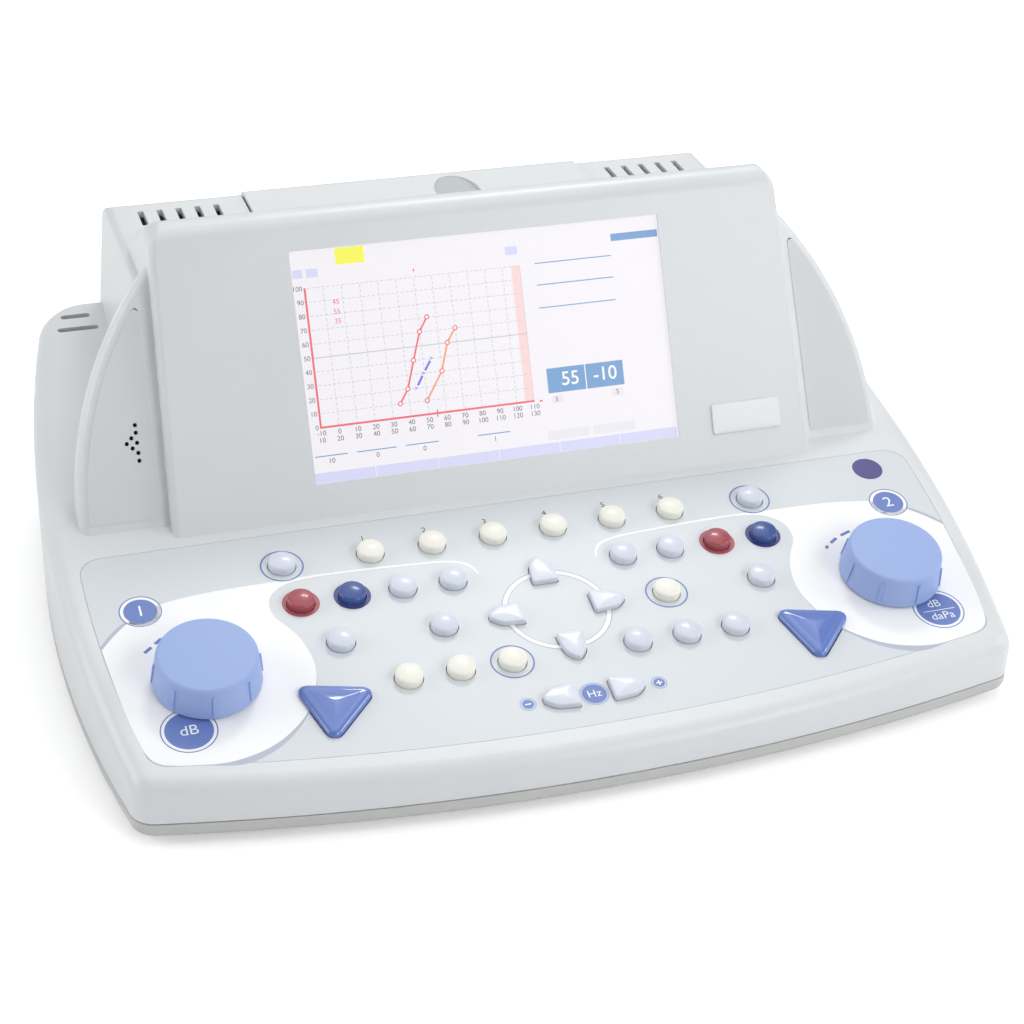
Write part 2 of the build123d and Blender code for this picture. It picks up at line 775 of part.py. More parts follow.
def recess_wall():
    half = RECESS_HALF + RECESS_WALL
    front = BODY_REAR - RECESS_DEPTH - RECESS_WALL
    low = RECESS_Z[0] - RECESS_WALL
    return slab((-half, front, low), (half, BODY_REAR + WALL, RECESS_Z[1] + RECESS_WALL))


def recess_window():
    half = RECESS_HALF - RECESS_LEDGE
    front = BODY_REAR - RECESS_DEPTH - 2 * RECESS_WALL
    low = RECESS_Z[0] + RECESS_LEDGE
    return slab((-half, front, low), (half, BODY_REAR, RECESS_Z[1] - RECESS_LEDGE))


def make_upper_housing():
    outer = casing_volume(0)
    housing = outer - (casing_volume(WALL) - recess_wall())
    posts = [Pos(x, y, POST_END_Z + FACE_TOP_Z / 2) * Cylinder(POST_RADIUS, FACE_TOP_Z) for x, y in post_places()]
    inside = [post & outer for post in posts]
    housing = housing + inside
    boss_height = BOARD_DROP - WALL
    for x, y in BOARD_BOSSES:
        boss = Pos(x, y, -WALL - boss_height / 2) * Cylinder(BOARD_BOSS_RADIUS, boss_height)
        housing = housing + deck * boss
    cuts = [deck * prism(film_outline(FIT), -FILM, WALL)]
    for name, shape, place in key_places():
        cuts.append(on_deck(place, key_hole(shape)))
    for side in (-1, 1):
        cuts.append(deck * Pos(side * KNOB_PLACE[0], KNOB_PLACE[1], 0) * Cylinder(ENCODER_NECK + FIT, 4 * WALL))
        cuts.append(web * prism(panel_outline(side, PANEL_GAP), -PANEL_THICK, WALL))
        cuts.append(web * prism(panel_outline(side, -PANEL_LEDGE), -WALL, WALL))
    cuts.append(screen_plate(0, -2 * WALL, WALL))
    cuts.append(screen_plate(WINDOW_LAP, -2 * WALL, -WINDOW_LIP))
    cuts.append(printer_opening())
    cuts.append(connector_recess())
    cuts.append(recess_window())
    for x in vent_places():
        middle = (VENT_ENDS[0] + VENT_ENDS[1]) / 2
        slot = RectangleRounded(VENT_WIDTH, VENT_ENDS[1] - VENT_ENDS[0], VENT_CORNER)
        cuts.append(Pos(x, middle, REAR_TOP_Z - 2 * WALL) * extrude(slot, amount=4 * WALL))
    for side in (-1, 1):
        for y, inner, outer_x in SLOTS:
            middle = side * (inner + outer_x) / 2
            slot = extrude(SlotOverall(outer_x - inner, SLOT_WIDTH), amount=2 * WALL, both=True)
            cuts.append(Pos(middle, y, shoulder_height(y)) * Rot(SHOULDER_TILT, 0, 0) * slot)
    for x, y in post_places():
        depth = SCREW_TOP_Z - POST_END_Z
        cuts.append(Pos(x, y, POST_END_Z + depth / 2) * Cylinder(SCREW_RADIUS + RUNNING_GAP, depth))
    housing = housing - cuts
    ear_bore = HINGE_PIN_RADIUS + RUNNING_GAP / 2
    bore = bar_x(ear_bore, -LID_HALF, LID_HALF, BODY_REAR - HINGE_RADIUS, HINGE_Z)
    return housing + hinge_ears() - bore


# Base tray, feet and screws

def make_base_tray():
    rim_z = PARTING_Z - TRAY_GROOVE_HEIGHT
    shell = prism(plan_outline(0), TRAY_BOTTOM, rim_z)
    lower = [e for e in shell.edges() if max((e @ 0).Z, (e @ 1).Z) < TRAY_BOTTOM + NEAR]
    shell = fillet(lower, TRAY_EDGE)
    shell = shell + prism(plan_outline(TRAY_GROOVE_DEPTH), rim_z, PARTING_Z)
    floor_z = TRAY_BOTTOM + TRAY_FLOOR
    shell = shell - prism(plan_outline(WALL + TRAY_GROOVE_DEPTH), floor_z, PARTING_Z + WALL)
    lip_outer = WALL + LIP_GAP
    lip = prism(plan_outline(lip_outer), floor_z, PARTING_Z + LIP_HEIGHT)
    lip = lip - prism(plan_outline(lip_outer + LIP_THICK), floor_z, PARTING_Z + 2 * LIP_HEIGHT)
    shell = shell + lip
    boss_height = POST_END_Z - floor_z
    for x, y in post_places():
        shell = shell + Pos(x, y, floor_z + boss_height / 2) * Cylinder(POST_RADIUS, boss_height)
    board_boss = MAIN_BOARD_Z - floor_z
    for x in (-MAIN_BOARD_BOSSES[0], MAIN_BOARD_BOSSES[0]):
        for y in (-MAIN_BOARD_BOSSES[1], MAIN_BOARD_BOSSES[1]):
            shell = shell + Pos(x, y, floor_z + board_boss / 2) * Cylinder(BOARD_BOSS_RADIUS, board_boss)
    for x, y in post_places():
        shell = shell - Pos(x, y, 0) * Cylinder(SCREW_RADIUS + FIT, 2 * POST_END_Z)
        shell = shell - Pos(x, y, SCREW_SEAT_Z / 2) * Cylinder(SCREW_HEAD_RADIUS + FIT, SCREW_SEAT_Z)
    for x, y in foot_places():
        pocket = Cylinder(FOOT_RADIUS + FOOT_GAP, TRAY_BOTTOM + FOOT_SUNK)
        shell = shell - Pos(x, y, (TRAY_BOTTOM + FOOT_SUNK) / 2) * pocket
    return shell


def foot_places():
    return inset_places(FOOT_PLACES)


def make_feet():
    feet = []
    for x, y in foot_places():
        height = TRAY_BOTTOM + FOOT_SUNK
        foot = Pos(x, y, height / 2) * Cylinder(FOOT_RADIUS, height)
        feet.append(chamfer(foot.edges().sort_by(Axis.Z)[0], FOOT_EDGE))
    return Compound(children=feet)


def make_screws():
    screws = []
    for x, y in post_places():
        head = Pos(x, y, SCREW_SEAT_Z - SCREW_HEAD / 2) * Cylinder(SCREW_HEAD_RADIUS, SCREW_HEAD)
        length = SCREW_TOP_Z - FIT - SCREW_SEAT_Z
        shank = Pos(x, y, SCREW_SEAT_Z + length / 2) * Cylinder(SCREW_RADIUS, length)
        cross = Box(SCREW_HEAD_RADIUS, SCREW_RADIUS / 2, SCREW_HEAD)
        drive = cross + Rot(0, 0, 90) * cross
        screws.append(head + shank - Pos(x, y, SCREW_SEAT_Z - SCREW_HEAD) * drive)
    return Compound(children=screws)


# Knobs and their encoders

def make_knob(side):
    taper = math.degrees(math.atan((KNOB_RADIUS - KNOB_TOP_RADIUS) / (KNOB_HEIGHT - KNOB_LIFT)))
    body = Pos(0, 0, KNOB_LIFT) * extrude(Circle(KNOB_RADIUS), amount=KNOB_HEIGHT - KNOB_LIFT, taper=taper)
    body = fillet(body.edges().group_by(Axis.Z)[-1], KNOB_EDGE)
    hollow = prism(Circle(KNOB_TOP_RADIUS - KNOB_WALL), 0, KNOB_LIFT + KNOB_HOLLOW)
    body = body - hollow
    stem = prism(Circle(KNOB_STEM_RADIUS), -KNOB_STEM_END, KNOB_LIFT + KNOB_HOLLOW)
    body = body + stem
    proud = extrude(Circle(KNOB_RADIUS + KNOB_RIB_PROUD), amount=KNOB_HEIGHT - KNOB_LIFT, taper=taper)
    middle = (KNOB_RIB_ENDS[0] + KNOB_RIB_ENDS[1]) / 2
    rib = Box(2 * KNOB_WALL, KNOB_RIB_WIDTH, KNOB_RIB_ENDS[1] - KNOB_RIB_ENDS[0])
    rib = Pos(KNOB_TOP_RADIUS, 0, middle) * rib
    for i in range(KNOB_RIBS):
        turned = Rot(0, 0, KNOB_RIB_TURNS[side] + i * 360 / KNOB_RIBS) * rib
        body = body + (turned & Pos(0, 0, KNOB_LIFT) * proud)
    return deck * Pos(side * KNOB_PLACE[0], KNOB_PLACE[1], 0) * body


def make_encoders():
    """Encoder bodies between the deck and the keypad board, with a bush for each knob's stem."""
    encoders = []
    height = BOARD_DROP - WALL
    for side in (-1, 1):
        body = Pos(0, 0, -WALL - height / 2) * Box(ENCODER_SIZE, ENCODER_SIZE, height)
        neck = prism(Circle(ENCODER_NECK), -WALL, 0)
        bore = prism(Circle(KNOB_STEM_RADIUS + RUNNING_GAP), -KNOB_STEM_END - FIT, WALL)
        encoder = body + neck - bore
        encoders.append(deck * Pos(side * KNOB_PLACE[0], KNOB_PLACE[1], 0) * encoder)
    return Compound(children=encoders)


# Boards, pump

def make_keypad_board():
    """Board on the deck's bosses, with a push switch under every key."""
    plate_z = -BOARD_DROP - BOARD_THICK / 2
    board = Pos(0, 0, plate_z) * Box(KEYPAD_BOARD[0], KEYPAD_BOARD[1], BOARD_THICK)
    switch_top = WALL + KEY_FLANGE_THICK + KEY_STEM + KEY_TRAVEL + SWITCH_GAP
    switch_height = BOARD_DROP - switch_top
    switches = []
    for name, shape, place in key_places():
        stem_x = KEY_SHAPES[shape][4]
        angle = math.radians(place[2])
        x = place[0] + stem_x * math.cos(angle)
        y = place[1] + stem_x * math.sin(angle)
        switches.append(Pos(x, y, -BOARD_DROP + switch_height / 2) * Box(SWITCH_SIZE, SWITCH_SIZE, switch_height))
    return deck * (board + switches)


def make_main_board():
    plate = Pos(0, 0, MAIN_BOARD_Z + BOARD_THICK / 2) * Box(MAIN_BOARD[0], MAIN_BOARD[1], BOARD_THICK)
    top = MAIN_BOARD_Z + BOARD_THICK
    board = plate
    for place, size in BOARD_PARTS:
        board = board + Pos(place[0], place[1], top + size[2] / 2) * Box(*size)
    return board


def make_pump():
    """Pump block with its motor on top and a hose port at each end."""
    floor_z = TRAY_BOTTOM + TRAY_FLOOR
    block = Pos(PUMP_PLACE[0], PUMP_PLACE[1], floor_z + PUMP_BASE[2] / 2) * Box(*PUMP_BASE)
    block = fillet(block.edges().filter_by(Axis.Z), MOULDED_ROUND)
    top = floor_z + PUMP_BASE[2]
    motor = Pos(PUMP_PLACE[0], PUMP_PLACE[1], top + PUMP_MOTOR / 2) * Cylinder(PUMP_MOTOR_RADIUS, PUMP_MOTOR)
    reach = PUMP_BASE[0] / 2 + PUMP_PORT
    port_z = floor_z + PUMP_PORT_UP
    ports = bar_x(PUMP_PORT_RADIUS, PUMP_PLACE[0] - reach, PUMP_PLACE[0] + reach, PUMP_PLACE[1], port_z)
    return block + motor + ports


# Printer lid

def lid_profile():
    """Lid in side view: top plate, rounded rear edge and rear skirt down to the hinge."""
    top = REAR_TOP_Z + LID_PROUD
    points = [
        (LID_FRONT_Y, top),
        (BODY_REAR, top),
        (BODY_REAR, HINGE_Z),
        (BODY_REAR - LID_THICK, HINGE_Z),
        (BODY_REAR - LID_THICK, top - LID_THICK),
        (LID_FRONT_Y, top - LID_THICK),
    ]
    profile = make_face(Polyline(*points, close=True))
    profile = fillet(near_vertices(profile, (BODY_REAR, top)), LID_CORNER)
    inner = (BODY_REAR - LID_THICK, top - LID_THICK)
    return fillet(near_vertices(profile, inner), LID_CORNER - LID_THICK)


def scoop_prism(grow, low, high):
    outline = Ellipse(SCOOP_HALF[0] + grow, SCOOP_HALF[1] + grow)
    return Pos(SCOOP_PLACE[0], SCOOP_PLACE[1]) * prism(outline, low, high)


def make_lid():
    centre_y = BODY_REAR - HINGE_RADIUS
    top = REAR_TOP_Z + LID_PROUD
    scoop_end = SCOOP_PLACE[1] + SCOOP_HALF[1]
    points = [
        (LID_FRONT_Y, top - SCOOP_DEPTH),
        (scoop_end, top - SCOOP_SHALLOW),
        (scoop_end, top + OVERRUN),
        (LID_FRONT_Y, top + OVERRUN),
    ]
    above_floor = across(make_face(Polyline(*points, close=True)), LID_HALF)
    boss_low = top - SCOOP_DEPTH - SCOOP_SKIN
    behind_edge = slab((-LID_HALF, LID_FRONT_Y, boss_low), (LID_HALF, BODY_REAR, top))
    boss = scoop_prism(SCOOP_SKIN, boss_low, top - LID_THICK) & behind_edge
    scoop = scoop_prism(0, boss_low, top + OVERRUN) & above_floor
    barrel = bar_x(HINGE_RADIUS, -LID_HALF, LID_HALF, centre_y, HINGE_Z)
    lid = across(lid_profile(), LID_HALF) + boss - scoop + barrel
    for side in (-1, 1):
        ends = sorted((side * (HINGE_EAR[0] - HINGE_EAR_GAP), side * (HINGE_EAR[1] + HINGE_EAR_GAP)))
        lid = lid - bar_x(2 * HINGE_RADIUS, ends[0], ends[1], centre_y, HINGE_Z)
    return lid - bar_x(HINGE_PIN_RADIUS + RUNNING_GAP, -LID_HALF, LID_HALF, centre_y, HINGE_Z)


def make_hinge_pin():
    return bar_x(HINGE_PIN_RADIUS, -LID_HALF, LID_HALF, BODY_REAR - HINGE_RADIUS, HINGE_Z)


# Printer

def make_printer_chassis():
    """Open tub that hangs below the rear block's top by its side flanges."""
    under_top = REAR_TOP_Z - WALL
    half = BAY_HALF + BAY_WALL
    tub = slab(
        (-half, BAY_FRONT_Y - BAY_SKIN, BAY_FLOOR_Z - BAY_SKIN),
        (half, BAY_REAR_Y + BAY_SKIN, under_top),
    )
    tub = tub - slab((-BAY_HALF, BAY_FRONT_Y, BAY_FLOOR_Z), (BAY_HALF, BAY_REAR_Y, FACE_TOP_Z))
    for side in (-1, 1):
        ends = sorted((side * half, side * (half + BAY_FLANGE)))
        flange_low = under_top - BAY_SKIN
        flange_rear = BODY_REAR - REAR_CORNER - BAY_SKIN
        tub = tub + slab((ends[0], BAY_FRONT_Y, flange_low), (ends[1], flange_rear, under_top))
        spindle = sorted((side * BAY_HALF, side * (ROLL_HALF - SPINDLE_ENGAGE)))
        tub = tub + bar_x(ROLL_CORE, spindle[0], spindle[1], ROLL_Y, ROLL_Z)
    head_front = PLATEN_Y - PLATEN_RADIUS - HEAD_GAP
    low = PLATEN_Z - HEAD_HEIGHT / 2
    tub = tub + slab((-ROLL_HALF, BAY_FRONT_Y, low), (ROLL_HALF, head_front, low + HEAD_HEIGHT))
    return tub - bar_x(PLATEN_SHAFT + RUNNING_GAP, -half, half, PLATEN_Y, PLATEN_Z)


def make_paper_roll():
    roll = bar_x(ROLL_RADIUS, -ROLL_HALF, ROLL_HALF, ROLL_Y, ROLL_Z)
    return roll - bar_x(ROLL_CORE + RUNNING_GAP, -ROLL_HALF, ROLL_HALF, ROLL_Y, ROLL_Z)


def make_platen():
    shaft_half = BAY_HALF + BAY_WALL
    roller = bar_x(PLATEN_RADIUS, -PLATEN_HALF, PLATEN_HALF, PLATEN_Y, PLATEN_Z)
    return roller + bar_x(PLATEN_SHAFT, -shaft_half, shaft_half, PLATEN_Y, PLATEN_Z)


# Rear plate and its sockets

recess_floor_y = BODY_REAR - RECESS_DEPTH
plate_y = recess_floor_y + PLATE_THICK


def make_rear_plate():
    half = RECESS_HALF - PLATE_GAP
    plate = slab((-half, recess_floor_y, RECESS_Z[0] + PLATE_GAP), (half, plate_y, RECESS_Z[1] - PLATE_GAP))
    for x in JACK_PLACES:
        plate = plate - bar_y(JACK_NECK + RUNNING_GAP, recess_floor_y, plate_y, x, PORT_Z)
    plate = plate - bar_y(PROBE_SHELL + RUNNING_GAP, recess_floor_y, plate_y, PROBE_X, PORT_Z)
    plate = plate - bar_y(AIR_SHELL + RUNNING_GAP, recess_floor_y, plate_y, AIR_X, PORT_Z)
    well = entry_well(FIT)
    return plate - well


def make_jacks():
    jacks = []
    for x in JACK_PLACES:
        body_low = recess_floor_y - JACK_BODY[1]
        body = slab(
            (x - JACK_BODY[0] / 2, body_low, PORT_Z - JACK_BODY[2] / 2),
            (x + JACK_BODY[0] / 2, recess_floor_y, PORT_Z + JACK_BODY[2] / 2),
        )
        end = plate_y + JACK_NUT_THICK
        neck = bar_y(JACK_NECK, recess_floor_y, end, x, PORT_Z)
        nut = bar_y(JACK_NUT, plate_y, end, x, PORT_Z)
        jacks.append(body + neck + nut - bar_y(JACK_BORE, end - JACK_DEPTH, end, x, PORT_Z))
    return Compound(children=jacks)


def make_probe_socket():
    """Round socket for the probe's plug and a port for its air tube, on one flange."""
    end = plate_y + PROBE_FLANGE[2]
    flange = slab(
        (PROBE_FLANGE_X - PROBE_FLANGE[0] / 2, plate_y, PORT_Z - PROBE_FLANGE[1] / 2),
        (PROBE_FLANGE_X + PROBE_FLANGE[0] / 2, end, PORT_Z + PROBE_FLANGE[1] / 2),
    )
    flange = fillet(flange.edges().filter_by(Axis.Y), MOULDED_ROUND)
    shell = bar_y(PROBE_SHELL, end - PROBE_BACK, end, PROBE_X, PORT_Z)
    air_shell = bar_y(AIR_SHELL, end - AIR_BACK, end, AIR_X, PORT_Z)
    socket = flange + shell + air_shell
    socket = socket - bar_y(PROBE_BORE, end - PROBE_DEPTH, end, PROBE_X, PORT_Z)
    socket = socket - bar_y(AIR_BORE, end - AIR_DEPTH, end, AIR_X, PORT_Z)
    return socket - bar_y(AIR_CHANNEL, end - AIR_BACK, end - AIR_DEPTH, AIR_X, PORT_Z)


def entry_well(gap):
    """Part of the power entry that passes through the rear plate."""
    half_x = ROCKER_WELL[0] / 2 + ROCKER_WELL_WALL + gap
    half_z = ROCKER_WELL[2] / 2 + ROCKER_WELL_WALL + gap
    well = slab(
        (ROCKER_X - half_x, plate_y - ROCKER_WELL[1] - gap, PORT_Z - half_z),
        (ROCKER_X + half_x, plate_y, PORT_Z + half_z),
    )
    shell = bar_y(INLET_SHELL + gap, plate_y - ROCKER_WELL[1], plate_y, INLET_X, PORT_Z)
    return well + shell


def make_power_entry():
    """One moulding that holds the low-voltage inlet and the rocker's well."""
    end = plate_y + ENTRY_FLANGE[2]
    flange = slab(
        (ENTRY_X - ENTRY_FLANGE[0] / 2, plate_y, PORT_Z - ENTRY_FLANGE[1] / 2),
        (ENTRY_X + ENTRY_FLANGE[0] / 2, end, PORT_Z + ENTRY_FLANGE[1] / 2),
    )
    flange = fillet(flange.edges().filter_by(Axis.Y), MOULDED_ROUND)
    module = flange + entry_well(0)
    module = module - slab(
        (ROCKER_X - ROCKER_WELL[0] / 2, plate_y - ROCKER_WELL[1] + ROCKER_WELL_WALL, PORT_Z - ROCKER_WELL[2] / 2),
        (ROCKER_X + ROCKER_WELL[0] / 2, end, PORT_Z + ROCKER_WELL[2] / 2),
    )
    axle_half = ROCKER_WELL[0] / 2 + ROCKER_WELL_WALL / 2
    axle = bar_x(ROCKER_AXLE + RUNNING_GAP, ROCKER_X - axle_half, ROCKER_X + axle_half, rocker_y(), PORT_Z)
    module = module - axle
    module = module - bar_y(INLET_BORE, end - INLET_DEPTH, end, INLET_X, PORT_Z)
    return module + bar_y(INLET_PIN, end - INLET_DEPTH, end - RUNNING_GAP, INLET_X, PORT_Z)


def rocker_y():
    return plate_y + ENTRY_FLANGE[2] - ROCKER_SUNK


def make_rocker():
    """Rocker tipped to its rest side about the axle along X."""
    points = [
        (-ROCKER_BACK, -ROCKER_BACK_HALF),
        (ROCKER_RIM, -ROCKER_HALF),
        (ROCKER_BULGE, -ROCKER_HALF),
        (ROCKER_WAIST, 0),
        (ROCKER_BULGE, ROCKER_HALF),
        (ROCKER_RIM, ROCKER_HALF),
        (-ROCKER_BACK, ROCKER_BACK_HALF),
    ]
    profile = make_face(Polyline(*points, close=True))
    rocker = across(profile, ROCKER_WIDTH / 2)
    axle_half = ROCKER_WELL[0] / 2 + ROCKER_WELL_WALL / 2 - FIT
    rocker = rocker + bar_x(ROCKER_AXLE, -axle_half, axle_half, 0, 0)
    return Pos(ROCKER_X, rocker_y(), PORT_Z) * Rot(-ROCKER_TILT, 0, 0) * rocker


write("upper_housing", make_upper_housing())
write("base_tray", make_base_tray())
write("keypad_overlay", make_overlay())
write("display_window", make_window())
write("lcd_panel", make_lcd())
write("left_speaker_panel", make_side_panel(-1))
write("right_side_panel", make_side_panel(1))
write("monitor_speaker", make_speaker())
write("printer_lid", make_lid())
write("lid_hinge_pin", make_hinge_pin())
write("printer_chassis", make_printer_chassis())
write("paper_roll", make_paper_roll())
write("platen_roller", make_platen())
write("left_knob", make_knob(-1))
write("right_knob", make_knob(1))
write("rotary_encoders", make_encoders())
write("keypad_board", make_keypad_board())
write("main_board", make_main_board())
write("air_pump", make_pump())
write("rear_panel", make_rear_plate())
write("rear_sockets", make_jacks())
write("probe_socket", make_probe_socket())
write("power_inlet", make_power_entry())
write("power_rocker", make_rocker())
write("rubber_feet", make_feet())
write("housing_screws", make_screws())
for key_node, key_shape, key_place in key_places():
    write(key_node, make_key(key_shape, key_place))
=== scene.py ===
import json
import math

import bmesh
import bpy
from mathutils import Matrix, Vector


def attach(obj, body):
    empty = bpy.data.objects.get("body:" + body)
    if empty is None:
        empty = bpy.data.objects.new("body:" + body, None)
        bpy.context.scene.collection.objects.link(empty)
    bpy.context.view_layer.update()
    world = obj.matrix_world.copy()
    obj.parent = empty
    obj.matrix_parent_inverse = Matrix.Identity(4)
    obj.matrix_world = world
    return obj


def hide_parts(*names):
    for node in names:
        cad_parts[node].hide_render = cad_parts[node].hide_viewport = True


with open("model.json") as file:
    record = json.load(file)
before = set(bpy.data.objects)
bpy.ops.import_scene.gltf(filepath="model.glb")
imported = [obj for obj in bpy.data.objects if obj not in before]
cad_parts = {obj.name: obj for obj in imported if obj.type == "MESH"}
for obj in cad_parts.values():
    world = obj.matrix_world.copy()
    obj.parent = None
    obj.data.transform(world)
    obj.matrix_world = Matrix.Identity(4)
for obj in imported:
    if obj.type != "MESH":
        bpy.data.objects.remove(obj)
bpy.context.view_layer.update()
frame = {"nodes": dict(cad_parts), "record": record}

SCENE = bpy.context.scene
SCENE.view_settings.view_transform = "Standard"
MM = 0.001

# Tilted planes that carry the print, the keys and the screen, as in the part's source
DECK = Matrix.Translation((0, -0.0745, 0.038)) @ Matrix.Rotation(math.radians(12), 4, "X")
FACE = Matrix.Translation((0, -0.007986, 0.052138)) @ Matrix.Rotation(math.radians(63.6), 4, "X")
WEB = Matrix.Translation((0, -0.000786, 0.052138)) @ Matrix.Rotation(math.radians(62.5), 4, "X")

# Camera, at the photograph's place

CAMERA_PLACE = (-0.24729, -0.74027, 0.50822)
CAMERA_RIGHT = (0.951558, -0.306011, 0.029899)
CAMERA_DOWN = (-0.133445, -0.498640, -0.856476)
CAMERA_FORWARD = (0.277000, 0.810997, -0.515320)
LENS = 76.877
SENSOR = 36
CLIPS = (0.05, 30)


def make_camera():
    data = bpy.data.cameras.new("camera")
    data.lens = LENS
    data.sensor_width = SENSOR
    data.clip_start, data.clip_end = CLIPS
    camera = bpy.data.objects.new("camera", data)
    SCENE.collection.objects.link(camera)
    columns = (CAMERA_RIGHT, [-c for c in CAMERA_DOWN], [-c for c in CAMERA_FORWARD])
    turn = Matrix(columns).transposed().to_4x4()
    camera.matrix_world = Matrix.Translation(CAMERA_PLACE) @ turn
    SCENE.camera = camera


make_camera()


# Materials

CLOUD_SCALE = 28
GRAIN_DEPTH = 0.0002
COAT_ROUGHNESS = 0.04


def srgb(red, green, blue):
    """Screen values 0 to 255 as a linear colour."""
    channels = []
    for value in (red, green, blue):
        value = value / 255
        channels.append(value / 12.92 if value <= 0.04045 else ((value + 0.055) / 1.055) ** 2.4)
    return (*channels, 1.0)


def new_material(name):
    material = bpy.data.materials.new(name)
    material.use_nodes = True
    tree = material.node_tree
    return material, tree.nodes["Principled BSDF"], tree.nodes, tree.links


def shade_of(colour, share):
    """A linear colour made darker or lighter by a factor."""
    return tuple(min(1.0, c * share) for c in colour[:3]) + (1.0,)


def moulded(name, colour, roughness, spark=0.06, spark_size=0.35, cloud=0.03, coat=0.0, metal=0.0):
    """Moulded surface with a faintly clouded colour and a fine grain, spark_size in millimetres across."""
    material, shader, nodes, links = new_material(name)
    shader.inputs["Metallic"].default_value = metal
    shader.inputs["Coat Weight"].default_value = coat
    shader.inputs["Coat Roughness"].default_value = COAT_ROUGHNESS
    place = nodes.new("ShaderNodeTexCoord")
    clouds = nodes.new("ShaderNodeTexNoise")
    clouds.inputs["Scale"].default_value = CLOUD_SCALE
    clouds.inputs["Detail"].default_value = 3
    links.new(place.outputs["Object"], clouds.inputs["Vector"])
    tint = nodes.new("ShaderNodeMix")
    tint.data_type = "RGBA"
    base = srgb(*colour)
    tint.inputs["A"].default_value = shade_of(base, 1 - cloud)
    tint.inputs["B"].default_value = shade_of(base, 1 + cloud)
    links.new(clouds.outputs["Fac"], tint.inputs["Factor"])
    links.new(tint.outputs["Result"], shader.inputs["Base Color"])
    grain = nodes.new("ShaderNodeTexNoise")
    grain.inputs["Scale"].default_value = 1000 / spark_size
    grain.inputs["Detail"].default_value = 2
    links.new(place.outputs["Object"], grain.inputs["Vector"])
    wear = nodes.new("ShaderNodeMapRange")
    wear.inputs["To Min"].default_value = roughness * 0.9
    wear.inputs["To Max"].default_value = min(1.0, roughness * 1.12)
    links.new(clouds.outputs["Fac"], wear.inputs["Value"])
    links.new(wear.outputs["Result"], shader.inputs["Roughness"])
    bump = nodes.new("ShaderNodeBump")
    bump.inputs["Strength"].default_value = spark
    bump.inputs["Distance"].default_value = GRAIN_DEPTH
    links.new(grain.outputs["Fac"], bump.inputs["Height"])
    links.new(bump.outputs["Normal"], shader.inputs["Normal"])
    return material


def lit(name, colour, glow):
    """Picture element of the screen: its own light with a trace of the panel's mesh."""
    material, shader, nodes, links = new_material(name)
    shader.inputs["Roughness"].default_value = 0.4
    shader.inputs["Emission Strength"].default_value = glow
    place = nodes.new("ShaderNodeTexCoord")
    dots = nodes.new("ShaderNodeTexNoise")
    dots.inputs["Scale"].default_value = 900
    links.new(place.outputs["Object"], dots.inputs["Vector"])
    tint = nodes.new("ShaderNodeMix")
    tint.data_type = "RGBA"
    base = srgb(*colour)
    tint.inputs["A"].default_value = shade_of(base, 0.98)
    tint.inputs["B"].default_value = base
    links.new(dots.outputs["Fac"], tint.inputs["Factor"])
    links.new(tint.outputs["Result"], shader.inputs["Emission Color"])
    shader.inputs["Base Color"].default_value = shade_of(base, 0.05)
    return material


def clear_pane():
    """Thin anti-glare window."""
    material, shader = new_material("anti_glare_window")[:2]
    shader.inputs["Base Color"].default_value = srgb(235, 240, 250)
    shader.inputs["Roughness"].default_value = 0.22
    shader.inputs["Alpha"].default_value = 0.06
    return material


MATERIALS = {
    "casing_plastic": moulded("casing_plastic", (224, 227, 229), 0.34),
    "tray_plastic": moulded("tray_plastic", (200, 201, 200), 0.5),
    "panel_plastic": moulded("panel_plastic", (218, 221, 221), 0.48, spark=0.12),
    "overlay_film": moulded("overlay_film", (215, 221, 225), 0.38, spark=0.05, spark_size=0.2, cloud=0.012),
    "screen_window": clear_pane(),
    "ivory_keys": moulded("ivory_keys", (247, 247, 236), 0.3, spark=0.02, coat=0.35),
    "lavender_keys": moulded("lavender_keys", (218, 224, 236), 0.3, spark=0.02, coat=0.35),
    "red_keys": moulded("red_keys", (168, 76, 86), 0.3, spark=0.02, coat=0.35),
    "dark_blue_keys": moulded("dark_blue_keys", (58, 86, 152), 0.3, spark=0.02, coat=0.35),
    "gloss_blue_keys": moulded("gloss_blue_keys", (98, 126, 200), 0.25, spark=0.0, coat=1.0),
    "knob_plastic": moulded("knob_plastic", (158, 180, 230), 0.5, spark=0.1, spark_size=0.3),
    "dark_plastic": moulded("dark_plastic", (44, 45, 48), 0.5, spark=0.1),
    "circuit_board": moulded("circuit_board", (30, 96, 62), 0.4, cloud=0.08),
    "pump_metal": moulded("pump_metal", (180, 182, 186), 0.35, metal=1.0),
    "steel": moulded("steel", (170, 172, 176), 0.3, metal=1.0),
    "paper": moulded("paper", (245, 244, 240), 0.8, spark=0.15, spark_size=0.15),
    "black_rubber": moulded("black_rubber", (30, 30, 31), 0.75, spark=0.2, spark_size=0.5),
}


# Making pieces

# Distances in metres at which points are joined: in copies of CAD meshes, and in shapes made here
COPY_WELD = 2e-6
SHAPE_WELD = 1e-7

NODE_SLOT = {part["node"]: part["material_slot"] for part in frame["record"]["subparts"]}
NODE_BODY = {}
for body_name, members in frame["record"]["behaviour"]["bodies"].items():
    for member in members:
        NODE_BODY[member] = body_name


